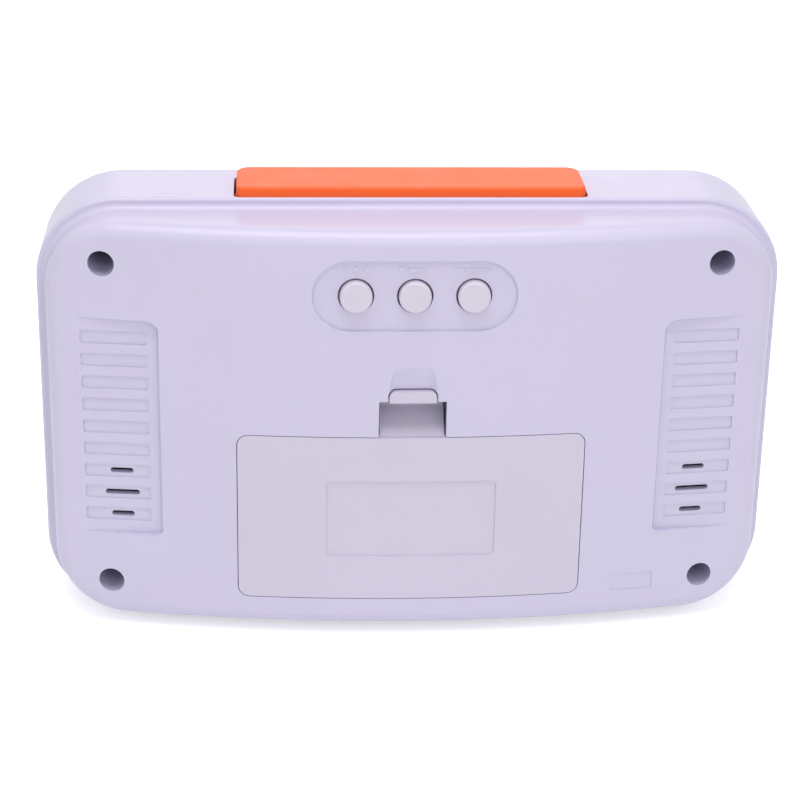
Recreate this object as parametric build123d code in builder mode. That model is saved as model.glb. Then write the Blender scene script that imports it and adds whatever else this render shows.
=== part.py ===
"""Talking table clock with a bulged back.

Two case shells hold a display stack, a main board, a speaker and two round cells.
A talk bar slides in the top, three keys slide in the back, and a battery door
with a sprung latch hinges in the back.

Frame: X to the right seen from the front, Y from the front to the back, Z up,
with the origin under the middle of the case at its resting face. Millimetres.
"""
from build123d import *
import math
import os

os.makedirs("parts", exist_ok=True)

# Case outline and depths
case_width = 136.0
case_height = 81.6
case_depth = 36.0
case_corner = 15.2
front_depth = 9.1
band_depth = 12.6
wall = 2.0
front_round = 5.0

# Bulged rear panel
panel_step = 2.0
panel_corner = 13.2
panel_round = 2.8
cove_round = 1.1
rim_round = 0.7
seam_bevel = 0.12
bulge_radius = 276.0

# Seam lip inside the shells
lip_reach = 1.5
lip_root = 2.0
lip_thick = 1.1
lip_gap = 0.1

# Screw wells that join the shells
well_side = 12.4
well_edge = 9.45
well_bore = 2.38
well_radius = 4.2
well_floor = 2.5
post_radius = 3.5
post_meet = 13.0
screw_head_radius = 2.1
screw_head_thick = 1.6
screw_radius = 1.15
screw_reach = 8.0
screw_pass = 0.2
thread_gap = 0.05

# Lens and display stack
lens_side = 18.0
lens_edge = 14.8
lens_corner = 6.0
lens_thick = 1.8
lens_sunk = 0.2
lens_gap = 0.15
lens_bevel = 0.3
window_border = 3.0
seat_border = 3.0
seat_thick = 1.6
glass_rim = 1.0
glass_thick = 2.8
guide_thick = 2.2
guide_end_gap = 1.0
guide_rise = 1.5
strip_height = 2.2
strip_end = 4.0
strip_edge = 0.6
holder_wall = 1.8
holder_gap = 0.2
led_width = 3.0
led_depth = 1.2
led_gap = 0.25

# Main board and what it carries
board_gap = 0.4
board_side = 17.0
board_edge = 8.8
board_thick = 1.6
board_corner = 1.5
board_post_side = 7.0
board_post_edge = 2.0
board_post_radius = 2.4
small_screw_radius = 0.9
small_head_radius = 1.8
small_head_thick = 1.1
small_screw_grip = 4.5
blob_radius = 7.0
blob_height = 1.8
blob_gap = 2.5
crystal_radius = 1.5
crystal_length = 8.0
crystal_x = 15.0
crystal_rise = 12.0
capacitor_radius = 2.5
capacitor_length = 5.0
capacitor_side = 11.0
capacitor_pitch = 8.0
capacitor_rise = 14.0
resistor_length = 3.2
resistor_width = 1.6
resistor_thick = 0.6
resistor_pitch = 4.0
resistor_x = 20.0
resistor_rise = 20.0
resistor_count = 4

# Talk bar in the top
bar_half = 31.65
bar_forward = 1.05
bar_proud = 1.8
bar_skirt = 5.5
bar_wall = 1.6
bar_front_corner = 2.5
bar_rear_corner = 1.0
bar_edge = 0.5
slot_gap = 0.15
slot_end_gap = 0.5
slot_lip = 0.5
hook_reach = 0.7
hook_width = 5.0
hook_height = 1.4
hook_gap = 0.1
bar_travel = 1.2
bar_post_radius = 2.0

# Talk switch under the bar
talk_switch_width = 6.2
talk_switch_depth = 3.6
talk_switch_height = 7.0
talk_switch_over = 1.2
talk_plunger_radius = 1.4
talk_plunger_reach = 1.6
plunger_gap = 0.1

# Bar springs and their shelves
spring_x = 25.0
spring_radius = 2.7
spring_wire = 0.5
spring_turns = 6
spring_seat_gap = 0.05
spring_pin_radius = 1.9
spring_pin_height = 1.6
shelf_drop = 8.8
shelf_thick = 1.5
shelf_half = 4.5
shelf_front = 3.4
shelf_reach = 11.5
gusset_thick = 1.2
gusset_rise = 2.0

# Keys in the back
key_pitch = 10.5
key_rise_share = 0.33088
key_radius = 2.9
key_hole_gap = 0.35
key_proud = 1.3
key_edge = 0.45
key_flange = 4.0
key_flange_thick = 1.0
key_flange_gap = 0.25
key_travel = 0.6
key_stem_radius = 1.7
key_recess_width = 36.6
key_recess_height = 13.2
key_recess_depth = 0.5

# Key board
key_board_width = 40.0
key_board_height = 13.0
key_board_thick = 1.2
key_board_corner = 1.0
key_switch_side = 6.0
key_switch_height = 3.5
key_plunger_radius = 1.6
key_plunger_reach = 1.2
key_plunger_sink = 1.0
key_post_x = 17.4
key_post_radius = 2.1

# Battery compartment
cell_room_share = 0.28543
cell_length = 50.5
cell_nub_radius = 2.7
cell_nub = 1.3
cell_gap = 0.4
cell_edge = 0.6
bay_half = 29.2
bay_wall = 1.6
bay_floor = 1.5
contact_thick = 0.4
contact_width = 11.0
cell_spring_wire = 0.7
cell_spring_base = 4.2
cell_spring_tip = 2.6
cell_spring_turns = 3

# Battery door
door_half = 31.8
door_edge_share = 0.40294
door_spare = 3.63
door_corner = 2.0
door_thick = 1.8
door_gap = 0.15
door_seat_gap = 0.1
door_flange = 3.0
door_panel_width = 31.25
door_panel_height = 15.2
door_panel_corner = 1.0
door_panel_depth = 0.25
tongue_x = 19.0
tongue_width = 6.0
tongue_reach = 2.4
tongue_thick = 1.1
tongue_drop = 0.5
tongue_gap = 0.35
tongue_swing = 1.6

# Latch spring of the door and its notch
notch_half = 6.15
notch_rise = 7.12
leaf_half = 5.9
leaf_thick = 1.1
leaf_root = 0.75
leaf_depth = 6.2
leaf_slope_rise = 3.65
leaf_bend = 1.6
leaf_neck_rise = 5.95
tab_half = 4.25
tab_low_rise = 6.9
tab_top_rise = 9.1
tab_depth = 3.4
tab_proud = 0.1
tab_corner = 1.0
tab_gap = 0.3
barb_height = 0.15
barb_length = 1.0
latch_room = 1.2
latch_wall = 1.2
scoop_depth = 0.9
scoop_half = 4.6
scoop_height = 4.6
scoop_round = 2.0

# Side grips with their vent slots
grip_side = 21.9
grip_top_edge = 19.8
grip_low_edge = 19.3
grip_depth = 1.2
grip_fade_side = 7.5
grip_slant = 0.8
grip_corner_top = 3.0
grip_corner_bottom = 2.2
grip_pad = 1.8
grip_pad_border = 1.5
row_count = 9
row_border = 3.17
row_land = 1.82
row_side = 14.15
row_width = 12.0
row_depth = 0.3
row_corner = 0.4
vent_height = 1.0
vent_short = 4.2
vent_long = 6.35
vent_side = 14.95

# Bare label place
label_shift = 1.5
label_edge = 9.4
label_width = 8.1
label_height = 3.5
label_depth = 0.2
label_corner = 0.4

# Speaker behind one grip
speaker_place_share = 0.46023
speaker_edge = 28.3
speaker_size_share = 0.39773
speaker_lip = 1.2
speaker_seat_depth = 11.4
speaker_depth = 4.4
magnet_share = 0.5
magnet_rim = 1.0
magnet_thick = 3.2
cone_thick = 0.4
cone_gap = 0.3
dust_cap_share = 0.257
dust_cap_rise = 1.0
speaker_ring_wall = 1.2
speaker_ring_gap = 0.2
speaker_ledge = 1.2
speaker_post_radius = 2.4
speaker_post_set = 1.6
speaker_head_radius = 2.3
terminal_width = 6.0
terminal_share = 0.2143
terminal_gap = 0.3
terminal_thick = 2.4

# Leads and ribbon
lead_radius = 0.6
lead_share = 0.45
lead_gap = 0.2
lead_turn_share = 0.5
cell_lead_x = 28.6
cell_lead_step = 4.4
speaker_lead_half = 1.6
speaker_lead_step = 5.7
ribbon_width = 9.0
ribbon_thick = 0.5
ribbon_bend = 2.0
ribbon_drop = 4.0

# Shared small values
overrun = 5.0
hair = 0.3

# Places worked out from the sizes above
mid_z = case_height / 2
front_y = -case_depth / 2
apex_y = case_depth / 2
seam_y = front_y + front_depth
edge_y = seam_y + band_depth
well_x = case_width / 2 - well_side
well_rise = case_height / 2 - well_edge
lens_width = case_width - 2 * lens_side
lens_height = case_height - 2 * lens_edge
glass_width = lens_width - 2 * glass_rim
glass_height = lens_height - 2 * glass_rim
board_width = case_width - 2 * board_side
board_height = case_height - 2 * board_edge
board_post_x = board_width / 2 - board_post_side
board_post_rise = board_height / 2 - board_post_edge
capacitor_x = board_width / 2 - capacitor_side
key_rise = case_height * key_rise_share
panel_width = case_width - 2 * panel_step
panel_height = case_height - 2 * panel_step
meet_y = front_y + post_meet
lens_y = front_y + lens_sunk + lens_thick
seat_y = lens_y + seat_thick
glass_y = seat_y + glass_thick
guide_y = glass_y + guide_thick
board_y = guide_y + board_gap
board_back_y = board_y + board_thick
cell_radius = (apex_y - board_back_y) * cell_room_share
bar_front_y = seam_y - bar_forward
bar_rear_y = edge_y - slot_lip - slot_gap
bar_mid_y = (bar_front_y + bar_rear_y) / 2
bar_depth = bar_rear_y - bar_front_y
bar_top_z = case_height + bar_proud
bar_ceiling_z = bar_top_z - bar_wall
bar_bottom_z = bar_top_z - bar_skirt
shelf_z = bar_ceiling_z - shelf_drop
shelf_front_y = bar_mid_y - shelf_front
door_height = 4 * cell_radius + door_spare
door_bottom = -case_height * door_edge_share
door_top = door_bottom + door_height
notch_top = door_top + notch_rise
leaf_slope = door_top + leaf_slope_rise
leaf_neck = door_top + leaf_neck_rise
tab_bottom = door_top + tab_low_rise
tab_top = door_top + tab_top_rise
door_mid = (door_top + door_bottom) / 2
cell_pitch_half = cell_radius + cell_gap / 2
grip_inner = case_width / 2 - grip_side
grip_fade = case_width / 2 - grip_fade_side
grip_top = case_height / 2 - grip_top_edge
grip_bottom = grip_low_edge - case_height / 2
row_x = case_width / 2 - row_side
row_mid = (grip_top + grip_bottom) / 2
row_pitch = (grip_top - grip_bottom - row_border) / row_count
row_height = row_pitch - row_land
vent_x = case_width / 2 - vent_side
label_x = (door_half + well_x) / 2 - label_shift
label_drop = case_height / 2 - label_edge
speaker_room = case_width / 2 - wall - bay_half - bay_wall
speaker_x = bay_half + bay_wall + speaker_room * speaker_place_share
speaker_radius = speaker_room * speaker_size_share
speaker_drop = case_height / 2 - speaker_edge
speaker_seat_y = apex_y - speaker_seat_depth
magnet_radius = speaker_radius * magnet_share
speaker_back_radius = magnet_radius + magnet_rim
dust_cap_radius = speaker_radius * dust_cap_share
terminal_height = speaker_radius * terminal_share
terminal_rise = speaker_radius - speaker_lip - terminal_gap - terminal_height / 2
ribbon_start = key_rise - key_board_height / 2 + ribbon_bend
ribbon_end = ribbon_start - ribbon_drop
blob_rise = ribbon_end - blob_radius - blob_gap
well_places = [(sx * well_x, sy * well_rise) for sx in (-1, 1) for sy in (-1, 1)]
board_post_places = [(sx * board_post_x, sy * board_post_rise) for sx in (-1, 1) for sy in (-1, 1)]


def back_y(x, depth):
    """Y of the bulged back at x, measured at a depth under its skin."""
    radius = bulge_radius - depth
    return apex_y - bulge_radius + math.sqrt(radius * radius - x * x)


def rear_view(y):
    """Plane at y seen from behind: x to the viewer's right, y up from mid height."""
    return Plane((0, y, mid_z), x_dir=(-1, 0, 0), z_dir=(0, 1, 0))


def front_view(y):
    """Plane at y seen from the front: x to the right, y up from mid height."""
    return Plane((0, y, mid_z), x_dir=(1, 0, 0), z_dir=(0, -1, 0))


def side_view(x):
    """Plane at x seen from the right: x runs to the back, y up from mid height."""
    return Plane((x, 0, mid_z), x_dir=(0, 1, 0), z_dir=(1, 0, 0))


cell_y = back_y(cell_length / 2, door_thick) - cell_gap - cell_radius
bay_floor_y = cell_y - cell_radius - cell_gap
bay_front_y = bay_floor_y - bay_floor
lead_turn_y = board_back_y + (bay_front_y - board_back_y) * lead_turn_share
bay_top = door_mid + 2 * cell_radius + cell_gap
bay_bottom = door_mid - 2 * cell_radius - cell_gap
key_top_y = apex_y - key_recess_depth + key_proud
key_flange_y = back_y(key_pitch + key_flange, wall) - key_flange_gap
key_stem_y = key_flange_y - key_flange_thick - key_plunger_reach
key_board_y = key_stem_y - key_plunger_reach - key_switch_height
low_cell_rise = door_mid - cell_pitch_half
high_cell_rise = door_mid + cell_pitch_half


def skin_block(depth, reach):
    """Curved slab over the whole back, from a depth under its skin outward by reach."""
    half = case_width / 2
    with BuildPart() as block:
        with BuildSketch(Plane.XY):
            with BuildLine():
                low_y = back_y(half, depth)
                top_y = low_y + reach
                inner = ThreePointArc((-half, low_y), (0, apex_y - depth), (half, low_y))
                outer = ThreePointArc((-half, top_y), (0, apex_y - depth + reach), (half, top_y))
                Line(inner @ 0, outer @ 0)
                Line(inner @ 1, outer @ 1)
            make_face()
        extrude(amount=case_height)
    return block.part


def skin_recess(outline, depth):
    """Cutter with the outline of a rear-view sketch, sunk to a depth along the bulged skin."""
    with BuildPart() as cutter:
        add(outline)
        extrude(amount=apex_y - edge_y + overrun, dir=(0, 1, 0))
        add(skin_block(depth, overrun), mode=Mode.INTERSECT)
    return cutter.part


def back_form(inset, start_y):
    """Solid rear half of the case from start_y, drawn in by inset on every side."""
    half = case_width / 2
    with BuildPart() as form:
        with BuildSketch(rear_view(start_y)):
            RectangleRounded(panel_width - 2 * inset, panel_height - 2 * inset, panel_corner - inset)
        extrude(amount=apex_y - start_y + overrun)
        with BuildSketch(Plane.XY):
            with BuildLine():
                ends = Polyline(
                    (-half, back_y(half, inset)),
                    (-half, start_y - overrun),
                    (half, start_y - overrun),
                    (half, back_y(half, inset)),
                )
                ThreePointArc(ends @ 1, (0, apex_y - inset), ends @ 0)
            make_face()
        extrude(amount=case_height, mode=Mode.INTERSECT)
        fillet(form.faces().sort_by(Axis.Y)[-1].edges(), panel_round - inset)
        with BuildSketch(rear_view(start_y)):
            RectangleRounded(case_width - 2 * inset, case_height - 2 * inset, case_corner - inset)
        extrude(amount=edge_y - inset - start_y)
    return form.part


def front_form(inset, start_y):
    """Solid front half of the case from start_y forward, drawn in by inset."""
    with BuildPart() as form:
        with BuildSketch(front_view(start_y)):
            RectangleRounded(case_width - 2 * inset, case_height - 2 * inset, case_corner - inset)
        extrude(amount=start_y - front_y - inset)
        fillet(form.faces().sort_by(Axis.Y)[0].edges(), front_round - inset)
    return form.part


def bar_block(low_z, top_z, end_gap, gap):
    """Upright block with the talk bar's plan, wider by a gap, and rounder at the front."""
    with BuildPart() as block:
        with BuildSketch(Plane.XY.offset(low_z)) as plan:
            with Locations((0, bar_mid_y)):
                Rectangle(2 * (bar_half + end_gap), bar_depth + 2 * gap)
            fillet(plan.vertices().group_by(Axis.Y)[0], bar_front_corner + gap)
            fillet(plan.vertices().group_by(Axis.Y)[-1], bar_rear_corner + gap)
        extrude(amount=top_z - low_z)
    return block.part


def bar_slot():
    """Cutter for the talk bar's slot through the top of both shells."""
    return bar_block(
        case_height - panel_step - 2 * wall, case_height + overrun, slot_end_gap, slot_gap
    )


def pin(plane, places, radius, length):
    """Round pins or cutters that stand on a plane."""
    with BuildPart() as pins:
        with BuildSketch(plane):
            with Locations(*places):
                Circle(radius)
        extrude(amount=length)
    return pins.part


def screws(plane, places, head_radius, head_thick, radius, length):
    """Pan-head screws whose heads stand on a plane and whose shanks run back through it."""
    with BuildPart() as group:
        with BuildSketch(plane):
            with Locations(*places):
                Circle(head_radius)
        extrude(amount=head_thick)
        fillet(group.edges().group_by(Axis(plane.origin, plane.z_dir))[-1], head_thick / 4)
        with BuildSketch(plane):
            with Locations(*places):
                Circle(radius)
        extrude(amount=-length)
    return group.part


def biarc(start, start_dir, end, end_dir):
    """Two tangent arcs from a point and direction to another, inside a BuildLine."""
    chord = end - start
    total = start_dir + end_dir
    spread = 2 * (1 - start_dir.dot(end_dir))
    along = chord.dot(total)
    reach = (math.sqrt(along * along + spread * chord.dot(chord)) - along) / spread
    first = start + start_dir * reach
    last = end - end_dir * reach
    joint = (first + last) * 0.5
    TangentArc(start, joint, tangent=start_dir)
    TangentArc(joint, end, tangent=(last - first).normalized())


def coil(plane, low, high, low_radius, high_radius, turns, wire):
    """Open coil spring along a plane's normal, as one tube swept on half-turn biarcs."""

    def place(share):
        angle = 2 * math.pi * turns * share
        radius = low_radius + (high_radius - low_radius) * share
        return Vector(radius * math.cos(angle), radius * math.sin(angle), low + (high - low) * share)

    def heading(share):
        angle = 2 * math.pi * turns * share
        radius = low_radius + (high_radius - low_radius) * share
        grow = (high_radius - low_radius) / (2 * math.pi * turns)
        rise = (high - low) / (2 * math.pi * turns)
        return Vector(
            grow * math.cos(angle) - radius * math.sin(angle),
            grow * math.sin(angle) + radius * math.cos(angle),
            rise,
        ).normalized()

    count = 2 * turns
    knots = [(place(step / count), heading(step / count)) for step in range(count + 1)]
    world = []
    for point, way in knots:
        spot = plane.from_local_coords(point)
        world.append((spot, plane.from_local_coords(point + way) - spot))
    steps = 24 * turns
    dots = [place(step / steps) for step in range(steps + 1)]
    gaps = [(dots[a] - dots[b]).length for a in range(steps + 1) for b in range(a + 12, steps + 1)]
    print("coil gap to itself", round(min(gaps) - wire, 3))
    with BuildPart() as spring:
        with BuildLine() as path:
            Line(world[0][0] - world[0][1] * wire, world[0][0])
            for (here, way), (there, next_way) in zip(world, world[1:]):
                biarc(here, way, there, next_way)
            Line(world[-1][0], world[-1][0] + world[-1][1] * wire)
        with BuildSketch(Plane(origin=path.line @ 0, z_dir=path.line % 0)):
            Circle(wire / 2)
        sweep()
    return spring.part


def lead(points, radius):
    """Round wire along points, with arcs as large as its runs allow."""
    spots = [Vector(*point) for point in points]
    radii = []
    for before, here, after in zip(spots, spots[1:], spots[2:]):
        turn = math.radians((here - before).get_angle(after - here))
        run = min((here - before).length, (after - here).length)
        radii.append(lead_share * run / math.tan(turn / 2))
    print("lead radii", [round(value, 1) for value in radii])
    with BuildPart() as wire:
        with BuildLine() as path:
            FilletPolyline(*spots, radius=radii)
        with BuildSketch(Plane(origin=path.line @ 0, z_dir=path.line % 0)):
            Circle(radius)
        sweep()
    return wire.part


def save(piece, name):
    """Label a finished piece and write its STEP file."""
    piece.part.label = name
    export_step(piece.part, "parts/" + name + ".step")


# Front shell: rounded bezel, lens seat, screw posts and board posts
with BuildPart() as front_shell:
    add(front_form(0, seam_y))
    chamfer(front_shell.faces().sort_by(Axis.Y)[-1].edges(), seam_bevel)
    add(front_form(wall, seam_y), mode=Mode.SUBTRACT)
    with BuildSketch(front_view(seat_y)):
        RectangleRounded(
            lens_width + 2 * seat_border, lens_height + 2 * seat_border, lens_corner + seat_border
        )
    extrude(amount=seat_y - front_y - wall / 2)
    with BuildSketch(front_view(meet_y)):
        with Locations(*well_places):
            Circle(post_radius)
    extrude(amount=meet_y - front_y - wall / 2)
    with BuildSketch(front_view(board_y)):
        with Locations(*board_post_places):
            Circle(board_post_radius)
    extrude(amount=board_y - front_y - wall / 2)
    with BuildSketch(front_view(lens_y)):
        RectangleRounded(lens_width + 2 * lens_gap, lens_height + 2 * lens_gap, lens_corner + lens_gap)
    extrude(amount=lens_y - front_y + overrun, mode=Mode.SUBTRACT)
    with BuildSketch(front_view(seat_y + overrun)):
        RectangleRounded(
            lens_width - 2 * window_border, lens_height - 2 * window_border, lens_corner - window_border
        )
    extrude(amount=seat_y - front_y + 2 * overrun, mode=Mode.SUBTRACT)
    add(
        pin(front_view(meet_y), well_places, screw_radius + thread_gap, screw_reach + hair),
        mode=Mode.SUBTRACT,
    )
    add(
        pin(front_view(board_y), board_post_places, small_screw_radius + thread_gap, small_screw_grip),
        mode=Mode.SUBTRACT,
    )
    add(bar_slot(), mode=Mode.SUBTRACT)

# Lens
with BuildPart() as display_lens:
    with BuildSketch(front_view(lens_y)):
        RectangleRounded(lens_width, lens_height, lens_corner)
    extrude(amount=lens_thick)
    chamfer(display_lens.faces().sort_by(Axis.Y)[0].edges(), lens_bevel)

# Display glass
with BuildPart() as display_glass:
    with BuildSketch(front_view(glass_y)):
        Rectangle(glass_width, glass_height)
    extrude(amount=glass_thick)

# Light guide behind the glass, short at its foot for the contact strip
with BuildPart() as light_guide:
    with BuildSketch(front_view(guide_y)):
        with Locations((0, guide_rise)):
            Rectangle(glass_width - 2 * guide_end_gap, glass_height - 2 * guide_rise - guide_end_gap)
    extrude(amount=guide_thick)

# Rubber contact strip between the glass and the board
with BuildPart() as contact_strip:
    with BuildSketch(front_view(board_y)):
        with Locations((0, -glass_height / 2 + strip_height / 2 + strip_edge - guide_end_gap / 2)):
            Rectangle(glass_width - 2 * strip_end, strip_height - guide_end_gap / 2)
    extrude(amount=board_y - glass_y)

# Frame that holds the glass and the guide against the bezel
holder_width = glass_width + 2 * (holder_gap + holder_wall)
holder_height = glass_height + 2 * (holder_gap + holder_wall)
with BuildPart() as display_holder:
    with BuildSketch(front_view(board_y)):
        Rectangle(holder_width, holder_height)
        Rectangle(glass_width + 2 * holder_gap, glass_height + 2 * holder_gap, mode=Mode.SUBTRACT)
        with Locations((holder_width / 2, 0)):
            Rectangle(2 * (holder_wall + holder_gap), led_width + 2 * led_gap, mode=Mode.SUBTRACT)
    extrude(amount=board_y - seat_y)

# Lamp that feeds the light guide from its end
with BuildPart() as backlight_lamp:
    with BuildSketch(front_view(board_y)):
        with Locations((glass_width / 2 + holder_gap + led_depth / 2, 0)):
            Rectangle(led_depth, led_width)
    extrude(amount=board_gap + guide_thick)

# Main board
with BuildPart() as main_board:
    with BuildSketch(rear_view(board_y)):
        RectangleRounded(board_width, board_height, board_corner)
        with Locations(*board_post_places):
            Circle(small_screw_radius + screw_pass, mode=Mode.SUBTRACT)
    extrude(amount=board_thick)

# Moulded drop of resin over the chip
with BuildPart() as clock_chip:
    blob_ball = (blob_radius * blob_radius + blob_height * blob_height) / (2 * blob_height)
    with BuildSketch(Plane((0, board_back_y, mid_z + blob_rise), x_dir=(1, 0, 0), z_dir=(0, 0, 1))):
        with BuildLine():
            foot = Line((0, 0), (blob_radius, 0))
            RadiusArc(foot @ 1, (0, blob_height), -blob_ball)
            Line((0, blob_height), (0, 0))
        make_face()
    revolve(axis=Axis((0, board_back_y, mid_z + blob_rise), (0, 1, 0)))

# Crystal can lying on the board
with BuildPart() as quartz_crystal:
    with BuildSketch(Plane.XY.offset(mid_z + crystal_rise)):
        with Locations((crystal_x, board_back_y + crystal_radius)):
            Circle(crystal_radius)
    extrude(amount=crystal_length)
    fillet(quartz_crystal.edges().group_by(Axis.Z)[-1], crystal_radius / 3)

# Capacitors standing on the board
with BuildPart() as capacitors:
    with BuildSketch(rear_view(board_back_y)):
        with Locations((capacitor_x, capacitor_rise), (capacitor_x, capacitor_rise - capacitor_pitch)):
            Circle(capacitor_radius)
    extrude(amount=capacitor_length)
    fillet(capacitors.edges().group_by(Axis.Y)[-1], capacitor_radius / 5)

# Chip resistors in a row
with BuildPart() as resistors:
    with BuildSketch(rear_view(board_back_y)):
        with Locations((resistor_x, resistor_rise)):
            with GridLocations(resistor_pitch, 0, resistor_count, 1):
                Rectangle(resistor_width, resistor_length)
    extrude(amount=resistor_thick)

# Screws that hold the board to its posts
with BuildPart() as board_screws:
    add(
        screws(
            rear_view(board_back_y), board_post_places, small_head_radius, small_head_thick,
            small_screw_radius, board_thick + small_screw_grip - hair,
        )
    )

# Talk switch on the board's top edge, bored for its plunger
talk_switch_y = board_back_y + talk_switch_depth / 2
talk_switch_top_z = mid_z + board_height / 2 + talk_switch_over
with BuildPart() as talk_switch:
    with BuildSketch(Plane.XY.offset(talk_switch_top_z)):
        with Locations((0, talk_switch_y)):
            Rectangle(talk_switch_width, talk_switch_depth)
    extrude(amount=-talk_switch_height)
    with BuildSketch(Plane.XY.offset(talk_switch_top_z)):
        with Locations((0, talk_switch_y)):
            Circle(talk_plunger_radius + plunger_gap)
    extrude(amount=-(2 * bar_travel + hair), mode=Mode.SUBTRACT)

with BuildPart() as talk_plunger:
    with BuildSketch(Plane.XY.offset(talk_switch_top_z - bar_travel)):
        with Locations((0, talk_switch_y)):
            Circle(talk_plunger_radius)
    extrude(amount=bar_travel + talk_plunger_reach)

# Talk bar: hollow cap with end hooks, a post over the switch and spring pins
with BuildPart() as talk_bar:
    add(bar_block(bar_bottom_z, bar_top_z, 0, 0))
    fillet(talk_bar.faces().sort_by(Axis.Z)[-1].edges(), bar_edge)
    with BuildSketch(Plane.XY.offset(bar_bottom_z)):
        with Locations((0, bar_mid_y)):
            Rectangle(2 * (bar_half - bar_wall), bar_depth - 2 * bar_wall)
    extrude(amount=bar_skirt - bar_wall, mode=Mode.SUBTRACT)
    hook_top_z = case_height - wall - hook_gap
    with BuildSketch(Plane.XZ.offset(-bar_mid_y)) as hook_face:
        for side in (-1, 1):
            with BuildLine():
                Polyline(
                    (side * (bar_half - bar_wall), hook_top_z),
                    (side * (bar_half + slot_end_gap + hook_reach), hook_top_z),
                    (side * (bar_half - bar_wall), hook_top_z - 2 * hook_height),
                    (side * (bar_half - bar_wall), hook_top_z),
                )
            make_face()
    extrude(amount=hook_width / 2, both=True)
    with BuildSketch(Plane.XY.offset(talk_switch_top_z + talk_plunger_reach)):
        with Locations((0, talk_switch_y)):
            Circle(bar_post_radius)
    extrude(until=Until.NEXT)
    with BuildSketch(Plane.XY.offset(bar_ceiling_z - spring_pin_height)):
        with Locations((-spring_x, bar_mid_y), (spring_x, bar_mid_y)):
            Circle(spring_pin_radius)
    extrude(amount=spring_pin_height + bar_wall / 2)


def bar_spring(x):
    """Coil between a shelf of the rear shell and the bar's ceiling."""
    base = Plane((x, bar_mid_y, shelf_z), x_dir=(1, 0, 0), z_dir=(0, 0, 1))
    foot = spring_wire / 2 + spring_seat_gap
    return coil(base, foot, shelf_drop - foot, spring_radius, spring_radius, spring_turns, spring_wire)


with BuildPart() as bar_spring_left:
    add(bar_spring(-spring_x))

with BuildPart() as bar_spring_right:
    add(bar_spring(spring_x))


# Route of the latch leaf: in from the door's top edge, up, and out again to its tab
leaf_root_y = apex_y - door_thick / 2
leaf_deep_y = leaf_root_y - leaf_depth
leaf_out = tab_bottom + leaf_thick / 2

# Battery door: curved plate, folded latch leaf with its tab, and two hook tongues
with BuildPart() as battery_door:
    with BuildSketch(rear_view(edge_y)):
        with Locations((0, door_mid)):
            RectangleRounded(2 * door_half, door_height, door_corner)
    extrude(amount=apex_y - edge_y + overrun)
    add(skin_block(door_thick, door_thick), mode=Mode.INTERSECT)
    with BuildSketch(rear_view(edge_y), mode=Mode.PRIVATE) as door_panel:
        with Locations((0, door_mid)):
            RectangleRounded(door_panel_width, door_panel_height, door_panel_corner)
    add(skin_recess(door_panel.sketch, door_panel_depth), mode=Mode.SUBTRACT)
    with BuildSketch(side_view(0)):
        with BuildLine():
            FilletPolyline(
                (leaf_root_y, door_top - leaf_root),
                (leaf_deep_y, leaf_slope),
                (leaf_deep_y, leaf_out),
                (apex_y - tab_depth / 2, leaf_out),
                radius=leaf_bend,
            )
        trace(line_width=leaf_thick)
    extrude(amount=leaf_half, both=True)
    with BuildSketch(rear_view(edge_y)):
        for side in (-1, 1):
            with Locations((side * (tab_half + leaf_half), leaf_neck + leaf_half)):
                Rectangle(2 * leaf_half, 2 * leaf_half)
    extrude(amount=apex_y, mode=Mode.SUBTRACT)
    with BuildSketch(rear_view(apex_y + tab_proud)):
        with Locations((0, (tab_bottom + tab_top) / 2)):
            tab = Rectangle(2 * tab_half, tab_top - tab_bottom)
        fillet(tab.vertices().group_by(Axis.Y)[-1], tab_corner)
    extrude(amount=-tab_depth)
    with BuildSketch(rear_view(apex_y + tab_proud - tab_depth)):
        with Locations((0, tab_top - tab_corner + (barb_height + tab_corner) / 2)):
            Rectangle(tab_half, tab_corner + barb_height)
    extrude(amount=barb_length)
    tongue_top_y = back_y(tongue_x + tongue_width / 2, wall) - tongue_gap / 2
    with BuildSketch(rear_view(tongue_top_y - tongue_thick)):
        with Locations((-tongue_x, door_bottom), (tongue_x, door_bottom)):
            Rectangle(tongue_width, 2 * tongue_reach)
    extrude(amount=tongue_thick)
    with BuildSketch(rear_view(tongue_top_y - tongue_thick)):
        for side in (-1, 1):
            with Locations((side * tongue_x, door_bottom + tongue_reach / 2)):
                Rectangle(tongue_width, tongue_reach)
    extrude(amount=tongue_thick + tongue_drop + door_thick / 2)


def grip_floor_y(x, depth):
    """Y of a grip's flat floor at x, less a depth."""
    start = back_y(grip_inner, 0) - grip_depth
    end = back_y(grip_fade, 0)
    return start + (end - start) * (x - grip_inner) / (grip_fade - grip_inner) - depth


def grip_plan(side, depth, slant, near, far):
    """Plan sketch of a slab over a grip's floor, from near to far, sunk by depth."""
    with BuildSketch(Plane.XY) as plan:
        with BuildLine():
            Polyline(
                (side * (near - slant), grip_floor_y(near, -2 * grip_depth)),
                (side * near, grip_floor_y(near, depth)),
                (side * far, grip_floor_y(far, depth)),
                (side * far, apex_y + overrun),
                (side * (near - slant), apex_y + overrun),
                (side * (near - slant), grip_floor_y(near, -2 * grip_depth)),
            )
        make_face()
    return plan.sketch


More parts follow.
